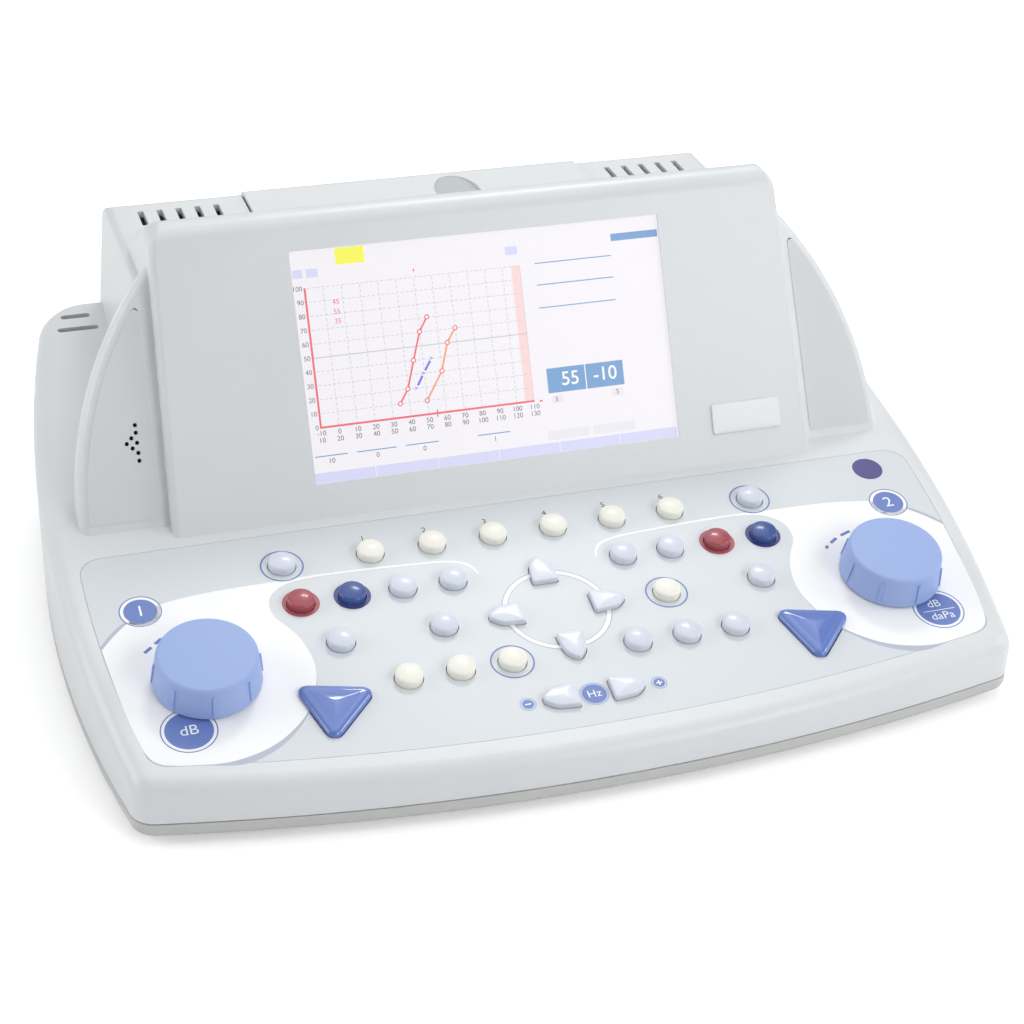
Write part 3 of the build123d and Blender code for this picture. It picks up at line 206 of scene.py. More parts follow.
def finish_piece(name, bm, material, body, crease=38):
    """Shades a bmesh that is in the part's own frame, as a piece that rides on a body."""
    for face in bm.faces:
        face.smooth = True
    limit = math.radians(crease)
    for edge in bm.edges:
        if len(edge.link_faces) == 2:
            edge.smooth = edge.calc_face_angle(0.0) < limit
    mesh = bpy.data.meshes.new(name)
    bm.to_mesh(mesh)
    bm.free()
    mesh.materials.append(material)
    piece = bpy.data.objects.new(name, mesh)
    SCENE.collection.objects.link(piece)
    even = piece.modifiers.new("even_normals", "WEIGHTED_NORMAL")
    even.keep_sharp = True
    even.weight = 80
    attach(piece, body)
    return piece


def merged_copy(node):
    """Copy of a CAD node's mesh with the corners of its faces joined."""
    bm = bmesh.new()
    bm.from_mesh(frame["nodes"][node].data)
    bmesh.ops.remove_doubles(bm, verts=bm.verts, dist=COPY_WELD)
    return bm


def stand_for(node, bm, crease=38):
    """Finishes a shape that stands for a CAD node."""
    slot = NODE_SLOT[node]
    piece = finish_piece(node + "_shell", bm, MATERIALS[slot], NODE_BODY[node], crease)
    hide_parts(node)


def outline_face(bm, corners, height):
    """Flat face from corners (x, y, corner radius) in millimetres, its corners rounded."""
    verts = [bm.verts.new((x * MM, y * MM, height * MM)) for x, y, radius in corners]
    face = bm.faces.new(verts)
    count = len(corners)
    for i, (x, y, radius) in enumerate(corners):
        if radius <= 0:
            continue
        before = Vector(corners[i - 1][:2]) - Vector((x, y))
        after = Vector(corners[(i + 1) % count][:2]) - Vector((x, y))
        reach = radius / math.tan(before.angle(after) / 2)
        bmesh.ops.bevel(bm, geom=[verts[i]], offset=reach * MM, offset_type="OFFSET", segments=8,
                        profile=0.5, affect="VERTICES", material=-1)
    return bm.faces[:]


def raise_faces(bm, faces, height):
    """Extrudes faces upwards by height in millimetres and gives back the top ones."""
    made = bmesh.ops.extrude_face_region(bm, geom=faces)["geom"]
    verts = [g for g in made if isinstance(g, bmesh.types.BMVert)]
    bmesh.ops.translate(bm, verts=verts, vec=(0, 0, height * MM))
    return [g for g in made if isinstance(g, bmesh.types.BMFace)]


def ease_rim(bm, height, width, segments=4):
    """Rounds the outer edges that lie at one height."""
    rim = []
    for edge in bm.edges:
        level = all(abs(v.co.z - height * MM) < 1e-6 for v in edge.verts)
        if level and edge.calc_face_angle(0.0) > math.radians(30):
            rim.append(edge)
    bmesh.ops.bevel(bm, geom=rim, offset=width * MM, offset_type="OFFSET", segments=segments,
                    profile=0.5, affect="EDGES", material=-1, clamp_overlap=True)


def crown(bm, dome, steps=7):
    """Draws the highest flat face in towards its middle in steps and lifts each, so that it ends domed."""
    top = max(bm.faces, key=lambda f: (round(f.calc_center_median().z, 6), f.calc_area()))
    middle = top.calc_center_median()
    for i in range(steps):
        last = i == steps - 1
        before = 1 - i / steps
        after = 1 - (i + (0.85 if last else 1)) / steps
        made = bmesh.ops.extrude_face_region(bm, geom=[top])["geom"]
        bmesh.ops.delete(bm, geom=[top], context="FACES_ONLY")
        verts = [g for g in made if isinstance(g, bmesh.types.BMVert)]
        top = [g for g in made if isinstance(g, bmesh.types.BMFace)][0]
        pull = Matrix.Translation(middle) @ Matrix.Scale(after / before, 4) @ Matrix.Translation(-middle)
        bmesh.ops.transform(bm, matrix=pull, verts=verts)
        rise = dome * (before ** 2 - after ** 2) * MM
        bmesh.ops.translate(bm, vec=(0, 0, rise), verts=verts)
        middle.z += rise


def spin_profile(profile, steps=72):
    """Solid of revolution from (radius, height) points in millimetres round the local Z axis."""
    bm = bmesh.new()
    verts = [bm.verts.new((radius * MM, 0, height * MM)) for radius, height in profile]
    edges = [bm.edges.new(pair) for pair in zip(verts, verts[1:])]
    bmesh.ops.spin(bm, geom=verts + edges, cent=(0, 0, 0), axis=(0, 0, 1), angle=math.tau,
                   steps=steps, use_merge=True)
    bmesh.ops.remove_doubles(bm, verts=bm.verts, dist=SHAPE_WELD)
    bmesh.ops.recalc_face_normals(bm, faces=bm.faces)
    return bm


def arc_points(centre, radius, start, end, count):
    points = []
    for i in range(count + 1):
        angle = math.radians(start + (end - start) * i / count)
        points.append((centre[0] + radius * math.cos(angle), centre[1] + radius * math.sin(angle)))
    return points


# Casing, side panels and lid

VENT_PLACES = [side * (122.35 - 8.15 * i) for i in range(5) for side in (-1, 1)]
VENT_HALF_WIDTH = 1.4
VENT_ENDS = (117, 129)
VENT_MIDDLE = 123.1
VENT_FLOOR = 127.0
VENT_GROWTH = (-0.9, 2.9)
PANEL_THICK = 1.7
PANEL_GROWTH = 0.35
PANEL_PROUD = 0.3
PANEL_EASE = 0.28
LID_END = 74
LID_SEAM = 0.45
LID_TOP = 133.1
# Thickness, lift, outline and slope of the grey sheet of painted shade on the floor of the lid's finger
# scoop
PAINTED_SHADE_SHEET = 0.12
PAINTED_SHADE_SHEET_LIFT = 0.02
SCOOP_MIDDLE = (15.5, 116.5)
SCOOP_RADII = (10.0, 17.8)
SCOOP_ENDS = ((101.5, LID_TOP - 3.2), (134.5, LID_TOP - 0.3))
SCOOP_CLEAR = 0.2


def make_casing():
    """Casing with its vents drawn out to their full length."""
    bm = merged_copy("upper_housing")
    for vert in bm.verts:
        x, y, z = vert.co / MM
        near = any(abs(x - place) < VENT_HALF_WIDTH for place in VENT_PLACES)
        if near and z > VENT_FLOOR and VENT_ENDS[0] < y < VENT_ENDS[1]:
            vert.co.y += VENT_GROWTH[y > VENT_MIDDLE] * MM
    stand_for("upper_housing", bm)


def make_side_panel(node):
    """Panel grown over its seam and stood a little proud, with an eased rim."""
    bm = merged_copy(node)
    bmesh.ops.transform(bm, matrix=WEB.inverted(), verts=bm.verts)
    walls = []
    for face in bm.faces:
        heights = [v.co.z for v in face.verts]
        if abs(face.normal.z) < 0.05 and max(heights) > -1e-5 and min(heights) > -PANEL_THICK * MM:
            walls.append(face)
    outward = {}
    for face in walls:
        for vert in face.verts:
            outward[vert] = outward.get(vert, Vector()) + face.normal
    for vert, way in outward.items():
        vert.co += way.normalized() * PANEL_GROWTH * MM
    for vert in bm.verts:
        if vert.co.z > -1e-5:
            vert.co.z += PANEL_PROUD * MM
    rim = [e for f in walls for e in f.edges if all(v.co.z > 0.1 * MM for v in e.verts)]
    bmesh.ops.bevel(bm, geom=rim, offset=PANEL_EASE * MM, offset_type="OFFSET", segments=3, profile=0.5,
                    affect="EDGES", material=-1, clamp_overlap=True)
    bmesh.ops.transform(bm, matrix=WEB, verts=bm.verts)
    stand_for(node, bm)


def make_lid():
    """Lid with open seams at its ends."""
    bm = merged_copy("printer_lid")
    for vert in bm.verts:
        if abs(vert.co.x) > LID_END * MM:
            vert.co.x -= math.copysign(LID_SEAM * MM, vert.co.x)
    stand_for("printer_lid", bm)


def make_scoop_painted_shade_sheet():
    """Grey sheet of painted shade laid on the sloping floor of the lid's finger scoop, darkening it as
    shade would.
    """
    bm = bmesh.new()
    bmesh.ops.create_circle(bm, cap_ends=True, radius=1.0, segments=96)
    bmesh.ops.scale(bm, vec=(SCOOP_RADII[0] * MM, SCOOP_RADII[1] * MM, 1), verts=bm.verts)
    bmesh.ops.translate(bm, vec=(SCOOP_MIDDLE[0] * MM, SCOOP_MIDDLE[1] * MM, 0), verts=bm.verts)
    (front, low_z), (rear, high_z) = SCOOP_ENDS
    everything = bm.verts[:] + bm.edges[:] + bm.faces[:]
    cut_y = (front + SCOOP_CLEAR) * MM
    bmesh.ops.bisect_plane(bm, geom=everything, plane_co=(0, cut_y, 0), plane_no=(0, 1, 0),
                           clear_inner=True)
    bmesh.ops.holes_fill(bm, edges=[e for e in bm.edges if e.is_boundary])
    slope = (high_z - low_z) / (rear - front)
    raise_faces(bm, bm.faces[:], PAINTED_SHADE_SHEET)
    for vert in bm.verts:
        vert.co.z += (low_z + PAINTED_SHADE_SHEET_LIFT) * MM + slope * (vert.co.y - front * MM)
    bmesh.ops.recalc_face_normals(bm, faces=bm.faces)
    # This grey is painted shade, darker than the lid's own colour.
    finish = moulded("scoop_painted_shade_grey", (190, 195, 196), 0.6)
    finish_piece("scoop_painted_shade_sheet", bm, finish, "printer_lid")


# Keys

KEY_FOOT = -3
KEY_RADIUS = 5.4
KEY_TOP = 3.35
KEY_EASE = 1.1
KEY_DOME = 0.75
FLANGE_RADIUS = 6.6
FLANGE_FOOT = -4.2
STEM_RADIUS = 1.8
STEM_FOOT = -6

# Places of the keys on the deck: pitches along the rows, and rows or columns from its middle
KEY_PITCH = 20.32
FUNCTION_PITCH = 25.4
FUNCTION_COUNT = 6
FUNCTION_ROW = 44.8
SELECT_ROW = 23.3
SELECT_FIRST_X = 35.5
LOW_ROW = -23.3
LOW_FIRST_X = 25.4
TEST_X = 99.1
REVERSE_X = 86.3
STORE_X = 45.7
ARROW_X = 14.3
FREQUENCY_PLACE = (6.75, -45.5)
TALK_PLACE = (96.4, -31.4)

# Bullet-shaped keys: corners (x, y, corner radius) of the outline
BULLET = ((0, -5.35, 0.9), (9.4, -4.45, 5.0), (14.6, 0, 2.3), (9.4, 4.45, 5.0), (0, 5.35, 0.9))
BULLET_TOP = 2.35
BULLET_EASE = 0.55
BULLET_DOME = 0.35

# Triangular talk keys
TALK_RADIUS = 18.5
TALK_TURN = 16
TALK_ROUND = 3.7
TALK_WALL = 3.9
TALK_DRAW = 0.86
TALK_SHOULDER = 1.7
TALK_DOME = 0.9
TALK_STEPS = 9


def triangle(radius, turn, rounding):
    """Corners (x, y, corner radius) of an even triangle."""
    corners = []
    for i in range(3):
        angle = math.radians(turn + 120 * i)
        corners.append((radius * math.cos(angle), radius * math.sin(angle), rounding))
    return corners


def round_key():
    """Cap with a softly domed top, a flange under the deck and a stem."""
    profile = [(0, STEM_FOOT), (STEM_RADIUS, STEM_FOOT), (STEM_RADIUS, FLANGE_FOOT),
               (FLANGE_RADIUS, FLANGE_FOOT), (FLANGE_RADIUS, KEY_FOOT), (KEY_RADIUS, KEY_FOOT)]
    profile += arc_points((KEY_RADIUS - KEY_EASE, KEY_TOP - KEY_EASE), KEY_EASE, 0, 78, 6)
    flat_radius, flat_height = profile[-1]
    for i in range(1, 9):
        share = i / 8
        profile.append((flat_radius * (1 - share), flat_height + KEY_DOME * share * (2 - share)))
    return spin_profile(profile)


def shaped_key(corners, height, ease, dome):
    """Cap of any outline with an eased rim and a softly domed top."""
    bm = bmesh.new()
    faces = outline_face(bm, corners, KEY_FOOT)
    raise_faces(bm, faces, height - KEY_FOOT)
    bmesh.ops.recalc_face_normals(bm, faces=bm.faces)
    ease_rim(bm, height, ease)
    crown(bm, dome)
    return bm


def puff_key():
    """Triangular cap with a broad rounded shoulder and a softly domed middle."""
    corners = triangle(TALK_RADIUS, TALK_TURN, TALK_ROUND)
    bm = bmesh.new()
    faces = outline_face(bm, corners, KEY_FOOT)
    raise_faces(bm, faces, TALK_WALL)
    bmesh.ops.recalc_face_normals(bm, faces=bm.faces)
    top = max(bm.faces, key=lambda f: f.calc_center_median().z)
    reach = TALK_RADIUS - 2 * TALK_ROUND
    centres = []
    for x, y, radius in corners:
        centres.append(Vector((x * reach / TALK_RADIUS * MM, y * reach / TALK_RADIUS * MM, 0)))
    for i in range(TALK_STEPS):
        before, after = (math.radians(90 * (i + k) / TALK_STEPS) for k in (0, 1))
        made = bmesh.ops.extrude_face_region(bm, geom=[top])["geom"]
        bmesh.ops.delete(bm, geom=[top], context="FACES_ONLY")
        top = [g for g in made if isinstance(g, bmesh.types.BMFace)][0]
        shrink = (1 - TALK_DRAW * (1 - math.cos(after))) / (1 - TALK_DRAW * (1 - math.cos(before)))
        rise = TALK_SHOULDER * (math.sin(after) - math.sin(before)) * MM
        for vert in top.verts:
            flat = Vector((vert.co.x, vert.co.y, 0))
            centre = min(centres, key=lambda c: (c - flat).length)
            flat = centre + (flat - centre) * shrink
            vert.co = (flat.x, flat.y, vert.co.z + rise)
    crown(bm, TALK_DOME, steps=TALK_STEPS)
    return bm


def function_x(number):
    return (number - (FUNCTION_COUNT - 1) / 2) * FUNCTION_PITCH


def select_x(number):
    return SELECT_FIRST_X + number * KEY_PITCH


def key_places():
    """Node name, kind and place (x, y, turn) on the deck for each key."""
    places = []
    for i in range(FUNCTION_COUNT):
        places.append(("function_key_%d" % (i + 1), "round", (function_x(i), FUNCTION_ROW, 0)))
    places.append(("test_key", "round", (-TEST_X, FUNCTION_ROW, 0)))
    places.append(("enter_key", "round", (TEST_X, FUNCTION_ROW, 0)))
    channels = ((-1, "left_", ("blue_key", "red_key")), (1, "right_", ("red_key", "blue_key")))
    for side, word, colours in channels:
        for i, name in enumerate(("input_key", "output_key") + colours):
            places.append((word + name, "round", (side * select_x(i), SELECT_ROW, 0)))
        places.append((word + "reverse_key", "round", (side * REVERSE_X, 0, 0)))
    places.append(("print_key", "round", (-STORE_X, 0, 0)))
    places.append(("store_key", "round", (STORE_X, 0, 0)))
    left_names = ("side_key", "contralateral_key", "ipsilateral_key")
    right_names = ("controls_key", "talk_over_key", "start_stop_key")
    for side, names in ((-1, left_names), (1, right_names)):
        for i, name in enumerate(names):
            places.append((name, "round", (side * (LOW_FIRST_X + i * KEY_PITCH), LOW_ROW, 0)))
    places.append(("arrow_key_right", "bullet", (ARROW_X, 0, 0)))
    places.append(("arrow_key_up", "bullet", (0, ARROW_X, 90)))
    places.append(("arrow_key_left", "bullet", (-ARROW_X, 0, 180)))
    places.append(("arrow_key_down", "bullet", (0, -ARROW_X, 270)))
    x, y = FREQUENCY_PLACE
    places.append(("frequency_down_key", "bullet", (-x, y, 180)))
    places.append(("frequency_up_key", "bullet", (x, y, 0)))
    x, y = TALK_PLACE
    places.append(("left_talk_key", "talk", (-x, y, 0)))
    places.append(("right_talk_key", "talk", (x, y, 0)))
    return places


def make_keys():
    for node, kind, (x, y, turn) in key_places():
        if kind == "round":
            bm = round_key()
        elif kind == "bullet":
            bm = shaped_key(BULLET, BULLET_TOP, BULLET_EASE, BULLET_DOME)
        else:
            bm = puff_key()
        turned = Matrix.Rotation(math.radians(turn), 4, "Z")
        place = DECK @ Matrix.Translation((x * MM, y * MM, 0)) @ turned
        bmesh.ops.transform(bm, matrix=place, verts=bm.verts)
        slot = NODE_SLOT[node]
        piece = finish_piece(node + "_cap", bm, MATERIALS[slot], NODE_BODY[node], crease=50)
        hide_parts(node)


# Knobs

KNOB_PLACE = (139.1, -8.2)
KNOB_FOOT = ((0, -9), (3, -9), (3, 0.5), (14, 0.5), (20.0, 0.5), (20.4, 0.9))
KNOB_TOP_RADIUS = 18.95
KNOB_HEIGHT = 14.0
KNOB_DOME = 0.3
KNOB_EDGE = 1.6
RIBS = 8
RIB_SIZE = (2.0, 0.8, 9.0)
RIB_LEAN = -6.3
RIB_PLACE = (19.3, 0, 6.4)


def make_knob(side, node, turn):
    """Tapered cap with a softly rounded rim and thin ribs down its side, turned by degrees."""
    profile = list(KNOB_FOOT)
    edge_middle = (KNOB_TOP_RADIUS - KNOB_EDGE, KNOB_HEIGHT - KNOB_DOME - KNOB_EDGE)
    profile += arc_points(edge_middle, KNOB_EDGE, 8, 84, 8)
    rim_radius, rim_height = profile[-1]
    for i in range(1, 7):
        share = i / 6
        profile.append((rim_radius * (1 - share), rim_height + KNOB_DOME * share * (2 - share)))
    bm = spin_profile(profile, steps=128)
    lean = Matrix.Rotation(math.radians(RIB_LEAN), 3, "Y")
    for i in range(RIBS):
        around = Matrix.Rotation(math.radians(360 / RIBS * i + turn), 3, "Z")
        rib = bmesh.ops.create_cube(bm, size=1.0)["verts"]
        bmesh.ops.scale(bm, vec=[length * MM for length in RIB_SIZE], verts=rib)
        bmesh.ops.rotate(bm, cent=(0, 0, 0), matrix=lean, verts=rib)
        bmesh.ops.translate(bm, vec=[length * MM for length in RIB_PLACE], verts=rib)
        bmesh.ops.rotate(bm, cent=(0, 0, 0), matrix=around, verts=rib)
    place = DECK @ Matrix.Translation((side * KNOB_PLACE[0] * MM, KNOB_PLACE[1] * MM, 0))
    bmesh.ops.transform(bm, matrix=place, verts=bm.verts)
    piece = finish_piece(node + "_cap", bm, MATERIALS["knob_plastic"], node, crease=50)
    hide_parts(node)


# Print on the film and picture on the screen, one piece for each ink

INK_THICK = 0.02


class Ink:
    """Thin flat shapes of one colour on one plane, gathered into one piece."""

    def __init__(self, name, material, slot, plane, level):
        self.name = name
        self.material = material
        self.slot = slot
        self.plane = plane
        self.level = level
        self.bm = bmesh.new()

    def take(self, bm):
        """Adds a shape and frees it."""
        mesh = bpy.data.meshes.new("shape")
        bm.to_mesh(mesh)
        bm.free()
        self.bm.from_mesh(mesh)
        bpy.data.meshes.remove(mesh)

    def disc(self, x, y, radius, steps=64):
        bm = bmesh.new()
        bmesh.ops.create_circle(bm, cap_ends=True, radius=radius * MM, segments=steps)
        bmesh.ops.translate(bm, vec=(x * MM, y * MM, 0), verts=bm.verts)
        self.take(bm)

    def ring(self, x, y, inner, outer, steps=96):
        bm = bmesh.new()
        bmesh.ops.create_circle(bm, radius=inner * MM, segments=steps)
        bmesh.ops.create_circle(bm, radius=outer * MM, segments=steps)
        bmesh.ops.bridge_loops(bm, edges=bm.edges[:])
        bmesh.ops.translate(bm, vec=(x * MM, y * MM, 0), verts=bm.verts)
        self.take(bm)

    def box(self, x_low, y_low, x_high, y_high):
        bm = bmesh.new()
        bmesh.ops.create_grid(bm, x_segments=1, y_segments=1, size=0.5)
        size = ((x_high - x_low) * MM, (y_high - y_low) * MM, 1)
        bmesh.ops.scale(bm, vec=size, verts=bm.verts)
        middle = ((x_low + x_high) / 2 * MM, (y_low + y_high) / 2 * MM, 0)
        bmesh.ops.translate(bm, vec=middle, verts=bm.verts)
        self.take(bm)

    def stroke(self, start, end, width):
        """Straight line from one point to another."""
        run = Vector(end) - Vector(start)
        bm = bmesh.new()
        bmesh.ops.create_grid(bm, x_segments=1, y_segments=1, size=0.5)
        bmesh.ops.scale(bm, vec=(run.length * MM, width * MM, 1), verts=bm.verts)
        turn = Matrix.Rotation(math.atan2(run.y, run.x), 4, "Z")
        middle = (Vector(start) + Vector(end)) / 2 * MM
        bmesh.ops.transform(bm, matrix=Matrix.Translation((middle.x, middle.y, 0)) @ turn, verts=bm.verts)
        self.take(bm)

    def text(self, words, x, y, size, align="CENTER", width=0.0):
        """Numbers or signs with their middle at a place."""
        data = bpy.data.curves.new("text", "FONT")
        data.body = words
        data.size = size * MM
        data.align_x = align
        data.align_y = "CENTER"
        data.offset = width * MM
        self.take_curve(data, x, y)

    def curve(self, points, corners=()):
        """Closed smooth outline through points, with sharp corners at the given numbers."""
        data = bpy.data.curves.new("outline", "CURVE")
        data.dimensions = "2D"
        data.fill_mode = "BOTH"
        data.resolution_u = 10
        spline = data.splines.new("BEZIER")
        spline.bezier_points.add(len(points) - 1)
        spline.use_cyclic_u = True
        for i, point in enumerate(points):
            knot = spline.bezier_points[i]
            knot.co = (point[0] * MM, point[1] * MM, 0)
            kind = "VECTOR" if i in corners else "AUTO"
            knot.handle_left_type = kind
            knot.handle_right_type = kind
        self.take_curve(data)

    def take_curve(self, data, x=0.0, y=0.0):
        """Adds a text or outline as a mesh, moved to a place."""
        holder = bpy.data.objects.new("holder", data)
        SCENE.collection.objects.link(holder)
        bpy.context.view_layer.update()
        evaluated = holder.evaluated_get(bpy.context.evaluated_depsgraph_get())
        mesh = bpy.data.meshes.new_from_object(evaluated)
        mesh.transform(Matrix.Translation((x * MM, y * MM, 0)))
        self.bm.from_mesh(mesh)
        bpy.data.meshes.remove(mesh)
        bpy.data.objects.remove(holder)
        bpy.data.curves.remove(data)

    def lay(self):
        """Gives the shapes their thickness and lays them on the plane, level millimetres above it."""
        bm = self.bm
        for face in bm.faces:
            if face.normal.z < 0:
                face.normal_flip()
        bmesh.ops.remove_doubles(bm, verts=bm.verts, dist=SHAPE_WELD)
        raise_faces(bm, bm.faces[:], INK_THICK)
        bmesh.ops.recalc_face_normals(bm, faces=bm.faces)
        place = self.plane @ Matrix.Translation((0, 0, self.level * MM))
        bmesh.ops.transform(bm, matrix=place, verts=bm.verts)
        finish_piece(self.name, bm, self.material, "casing", crease=20)


def film_ink(name, colour, level):
    finish = moulded(name, colour, 0.4, spark=0.04, spark_size=0.2, cloud=0.012)
    return Ink(name, finish, "overlay_film", DECK, level)


# White field round a knob and the line that runs on from it round the channel's keys, left side
FIELD = (
    (-174.2, 14.2), (-171.0, 18.0), (-166.8, 22.4), (-161.0, 27.3), (-150.4, 33.0), (-142.8, 34.8),
    (-132.0, 36.1), (-119.9, 36.7), (-105.0, 36.9), (-94.7, 37.3), (-75.0, 37.2), (-57.0, 36.4),
    (-45.5, 35.7), (-35.0, 34.7), (-29.0, 32.8), (-25.7, 29.5), (-24.4, 24.8), (-25.0, 24.8),
    (-26.6, 29.0), (-29.6, 31.8), (-35.4, 33.8), (-45.6, 34.8), (-57.0, 35.5), (-75.0, 36.2),
    (-92.0, 36.1), (-100.3, 34.5), (-104.6, 31.9), (-107.5, 28.4), (-108.6, 23.7), (-107.8, 18.2),
    (-104.4, 12.2), (-101.2, 5.8), (-99.5, -0.5), (-98.6, -8.4), (-100.0, -17.5), (-103.5, -26.5),
    (-107.6, -33.0), (-113.5, -39.0), (-121.3, -44.4), (-131.0, -47.9), (-141.0, -49.2),
    (-149.5, -48.3), (-158.0, -46.7), (-164.0, -44.2), (-167.0, -40.0), (-168.6, -33.5),
    (-171.9, -11.4),
)
FIELD_CORNERS = (0, 16, 17, 41)

# Grey-lavender shades along the field's edge, left side
CRESCENT = (
    (-98.4, -10.0), (-100.2, -19.5), (-105.4, -31.0), (-111.4, -38.8), (-118.2, -44.9),
    (-125.6, -49.0), (-133.1, -51.2), (-149.0, -48.6), (-131.0, -47.7), (-121.3, -44.2),
    (-113.3, -38.8), (-107.4, -32.8), (-103.3, -26.3), (-99.9, -17.5),
)
CRESCENT_CORNERS = (0, 7)
UPPER_CRESCENT = (
    (-174.4, 16.0), (-170.4, 21.0), (-165.2, 25.8), (-160.6, 28.8), (-160.8, 27.6), (-166.6, 22.6),
    (-170.8, 18.2), (-174.2, 14.4),
)
UPPER_CRESCENT_CORNERS = (0, 3, 4, 7)

CHANNEL_BADGE = (156.8, 31.4)
LEVEL_BADGE = (150.3, -31.5)
SIGN_BADGE = (26.1, -45.4)
HERTZ_BADGE = (0, -45.6)
PURPLE_SPOT = (156.7, 52.8)
RINGED_KEYS = ((-TEST_X, FUNCTION_ROW), (TEST_X, FUNCTION_ROW), (STORE_X, 0), (-LOW_FIRST_X, LOW_ROW))
KNOB_DASHES = (
    ((-159.1, 9.7), (-156.1, 12.1)), ((-154.5, 13.5), (-151.6, 15.8)), ((119.3, 10.4), (120.6, 11.9)),
    ((122.5, 13.1), (126.0, 15.4)), ((128.4, 16.5), (133.2, 18.2)),
)

# Heights of the layers of print above the film
UNDER, FIELD_LEVEL, PLAIN, BADGE_LEVEL, MARK_LEVEL = 0.002, 0.014, 0.026, 0.038, 0.05


def mirrored(points, side):
    """The left side's points on the side asked for."""
    return [(-side * x, y) for x, y in points]


def print_side(side, white, shade, badge, rings, light, marks, key_rings):
    """Field, badges and key rings of one channel."""
    white.curve(mirrored(FIELD, side), corners=FIELD_CORNERS)
    shade.curve(mirrored(CRESCENT, side), corners=CRESCENT_CORNERS)
    shade.curve(mirrored(UPPER_CRESCENT, side), corners=UPPER_CRESCENT_CORNERS)
    x, y = side * CHANNEL_BADGE[0], CHANNEL_BADGE[1]
    white.disc(x, y, 7.6)
    badge.disc(x, y, 6.4)
    rings.ring(x, y, 7.75, 8.15)
    marks.text("1" if side < 0 else "2", x, y, 8.0)
    x, y = side * LEVEL_BADGE[0], LEVEL_BADGE[1]
    badge.disc(x, y, 8.9)
    rings.ring(x, y, 10.05, 10.5)
    for i, ink in enumerate(key_rings):
        ink.ring(side * select_x(2 + i), SELECT_ROW, 5.8, 7.3)
    x, y = side * SIGN_BADGE[0], SIGN_BADGE[1]
    badge.disc(x, y, 2.2)
    light.ring(x, y, 2.6, 3.2)


def print_film():
    shade = film_ink("print_grey_lavender", (184, 190, 206), UNDER)
    white = film_ink("print_white", (250, 251, 252), FIELD_LEVEL)
    grey = film_ink("print_grey", (158, 164, 174), PLAIN)
    light = film_ink("print_light_blue", (176, 190, 224), PLAIN)
    rings = film_ink("print_rings", (100, 124, 188), PLAIN)
    red = film_ink("print_red", (178, 84, 94), PLAIN)
    blue = film_ink("print_dark_blue", (58, 62, 132), PLAIN)
    purple = film_ink("print_purple", (82, 72, 138), PLAIN)
    dark = film_ink("print_numbers", (84, 90, 100), PLAIN)
    badge = film_ink("print_badges", (106, 130, 196), BADGE_LEVEL)
    marks = film_ink("print_badge_marks", (246, 248, 252), MARK_LEVEL)
    print_side(-1, white, shade, badge, rings, light, marks, (blue, red))
    print_side(1, white, shade, badge, rings, light, marks, (red, blue))
    marks.text("dB", -150.3, -31.5, 6.6)
    marks.text("dB", 149.6, -28.4, 5.4)
    marks.text("daPa", 150.6, -35.2, 5.4)
    marks.stroke((143.6, -32.0), (157.2, -32.0), 0.35)
    for start, end in KNOB_DASHES:
        rings.stroke(start, end, 1.35)
    purple.disc(*PURPLE_SPOT, 6.5)
    badge.disc(*HERTZ_BADGE, 4.7)
    light.ring(*HERTZ_BADGE, 4.95, 5.7)
    marks.text("Hz", *HERTZ_BADGE, 5.0)
    marks.stroke((-27.3, -45.4), (-24.9, -45.4), 0.6)
    marks.stroke((24.9, -45.4), (27.3, -45.4), 0.6)
    for y_low, y_high in ((-46.6, -45.72), (-45.08, -44.2)):
        marks.box(25.8, y_low, 26.4, y_high)
    for x, y in RINGED_KEYS:
        rings.ring(x, y, 7.95, 8.55)
    for i in range(FUNCTION_COUNT):
        dark.text(str(i + 1), function_x(i) - 1.0, 53.6, 4.0)
    white.ring(0, 0, 19.5, 21.3)
    grey.ring(0, 0, 21.3, 21.6)
    grey.ring(0, 0, 19.25, 19.4)
    for ink in (shade, white, grey, light, rings, red, blue, purple, dark, badge, marks):
        ink.lay()


# Screen

SCREEN_LOW = 13.9
SCREEN_MIDDLE = 46.5
SCREEN_GLOW = 0.94
PANE_SIZE = (161.6, 98.4, 0.7)
PANE_EASE = 0.2
PANE_DEPTH = -1.25

# Graph: its corners, its steps, and the curves drawn in it
GRAPH = (-73.0, 22.3, 17.2, 78.2)
GRAPH_X = 7.5
GRAPH_Y = 5.57
RED_CURVE = ((-39.4, 27.9), (-35.6, 33.5), (-31.9, 44.7), (-28.1, 55.9), (-24.4, 61.5))
ORANGE_CURVE = ((-28.1, 27.9), (-20.6, 39.1), (-17.0, 50.3), (-13.1, 55.9))
BLUE_CURVE = ((-31.9, 33.4), (-28.3, 39.1), (-24.3, 44.8))


DASH = 1.2
DASH_PITCH = 2.0
GRID_WIDTH = 0.14
AXIS_WIDTH = 0.42

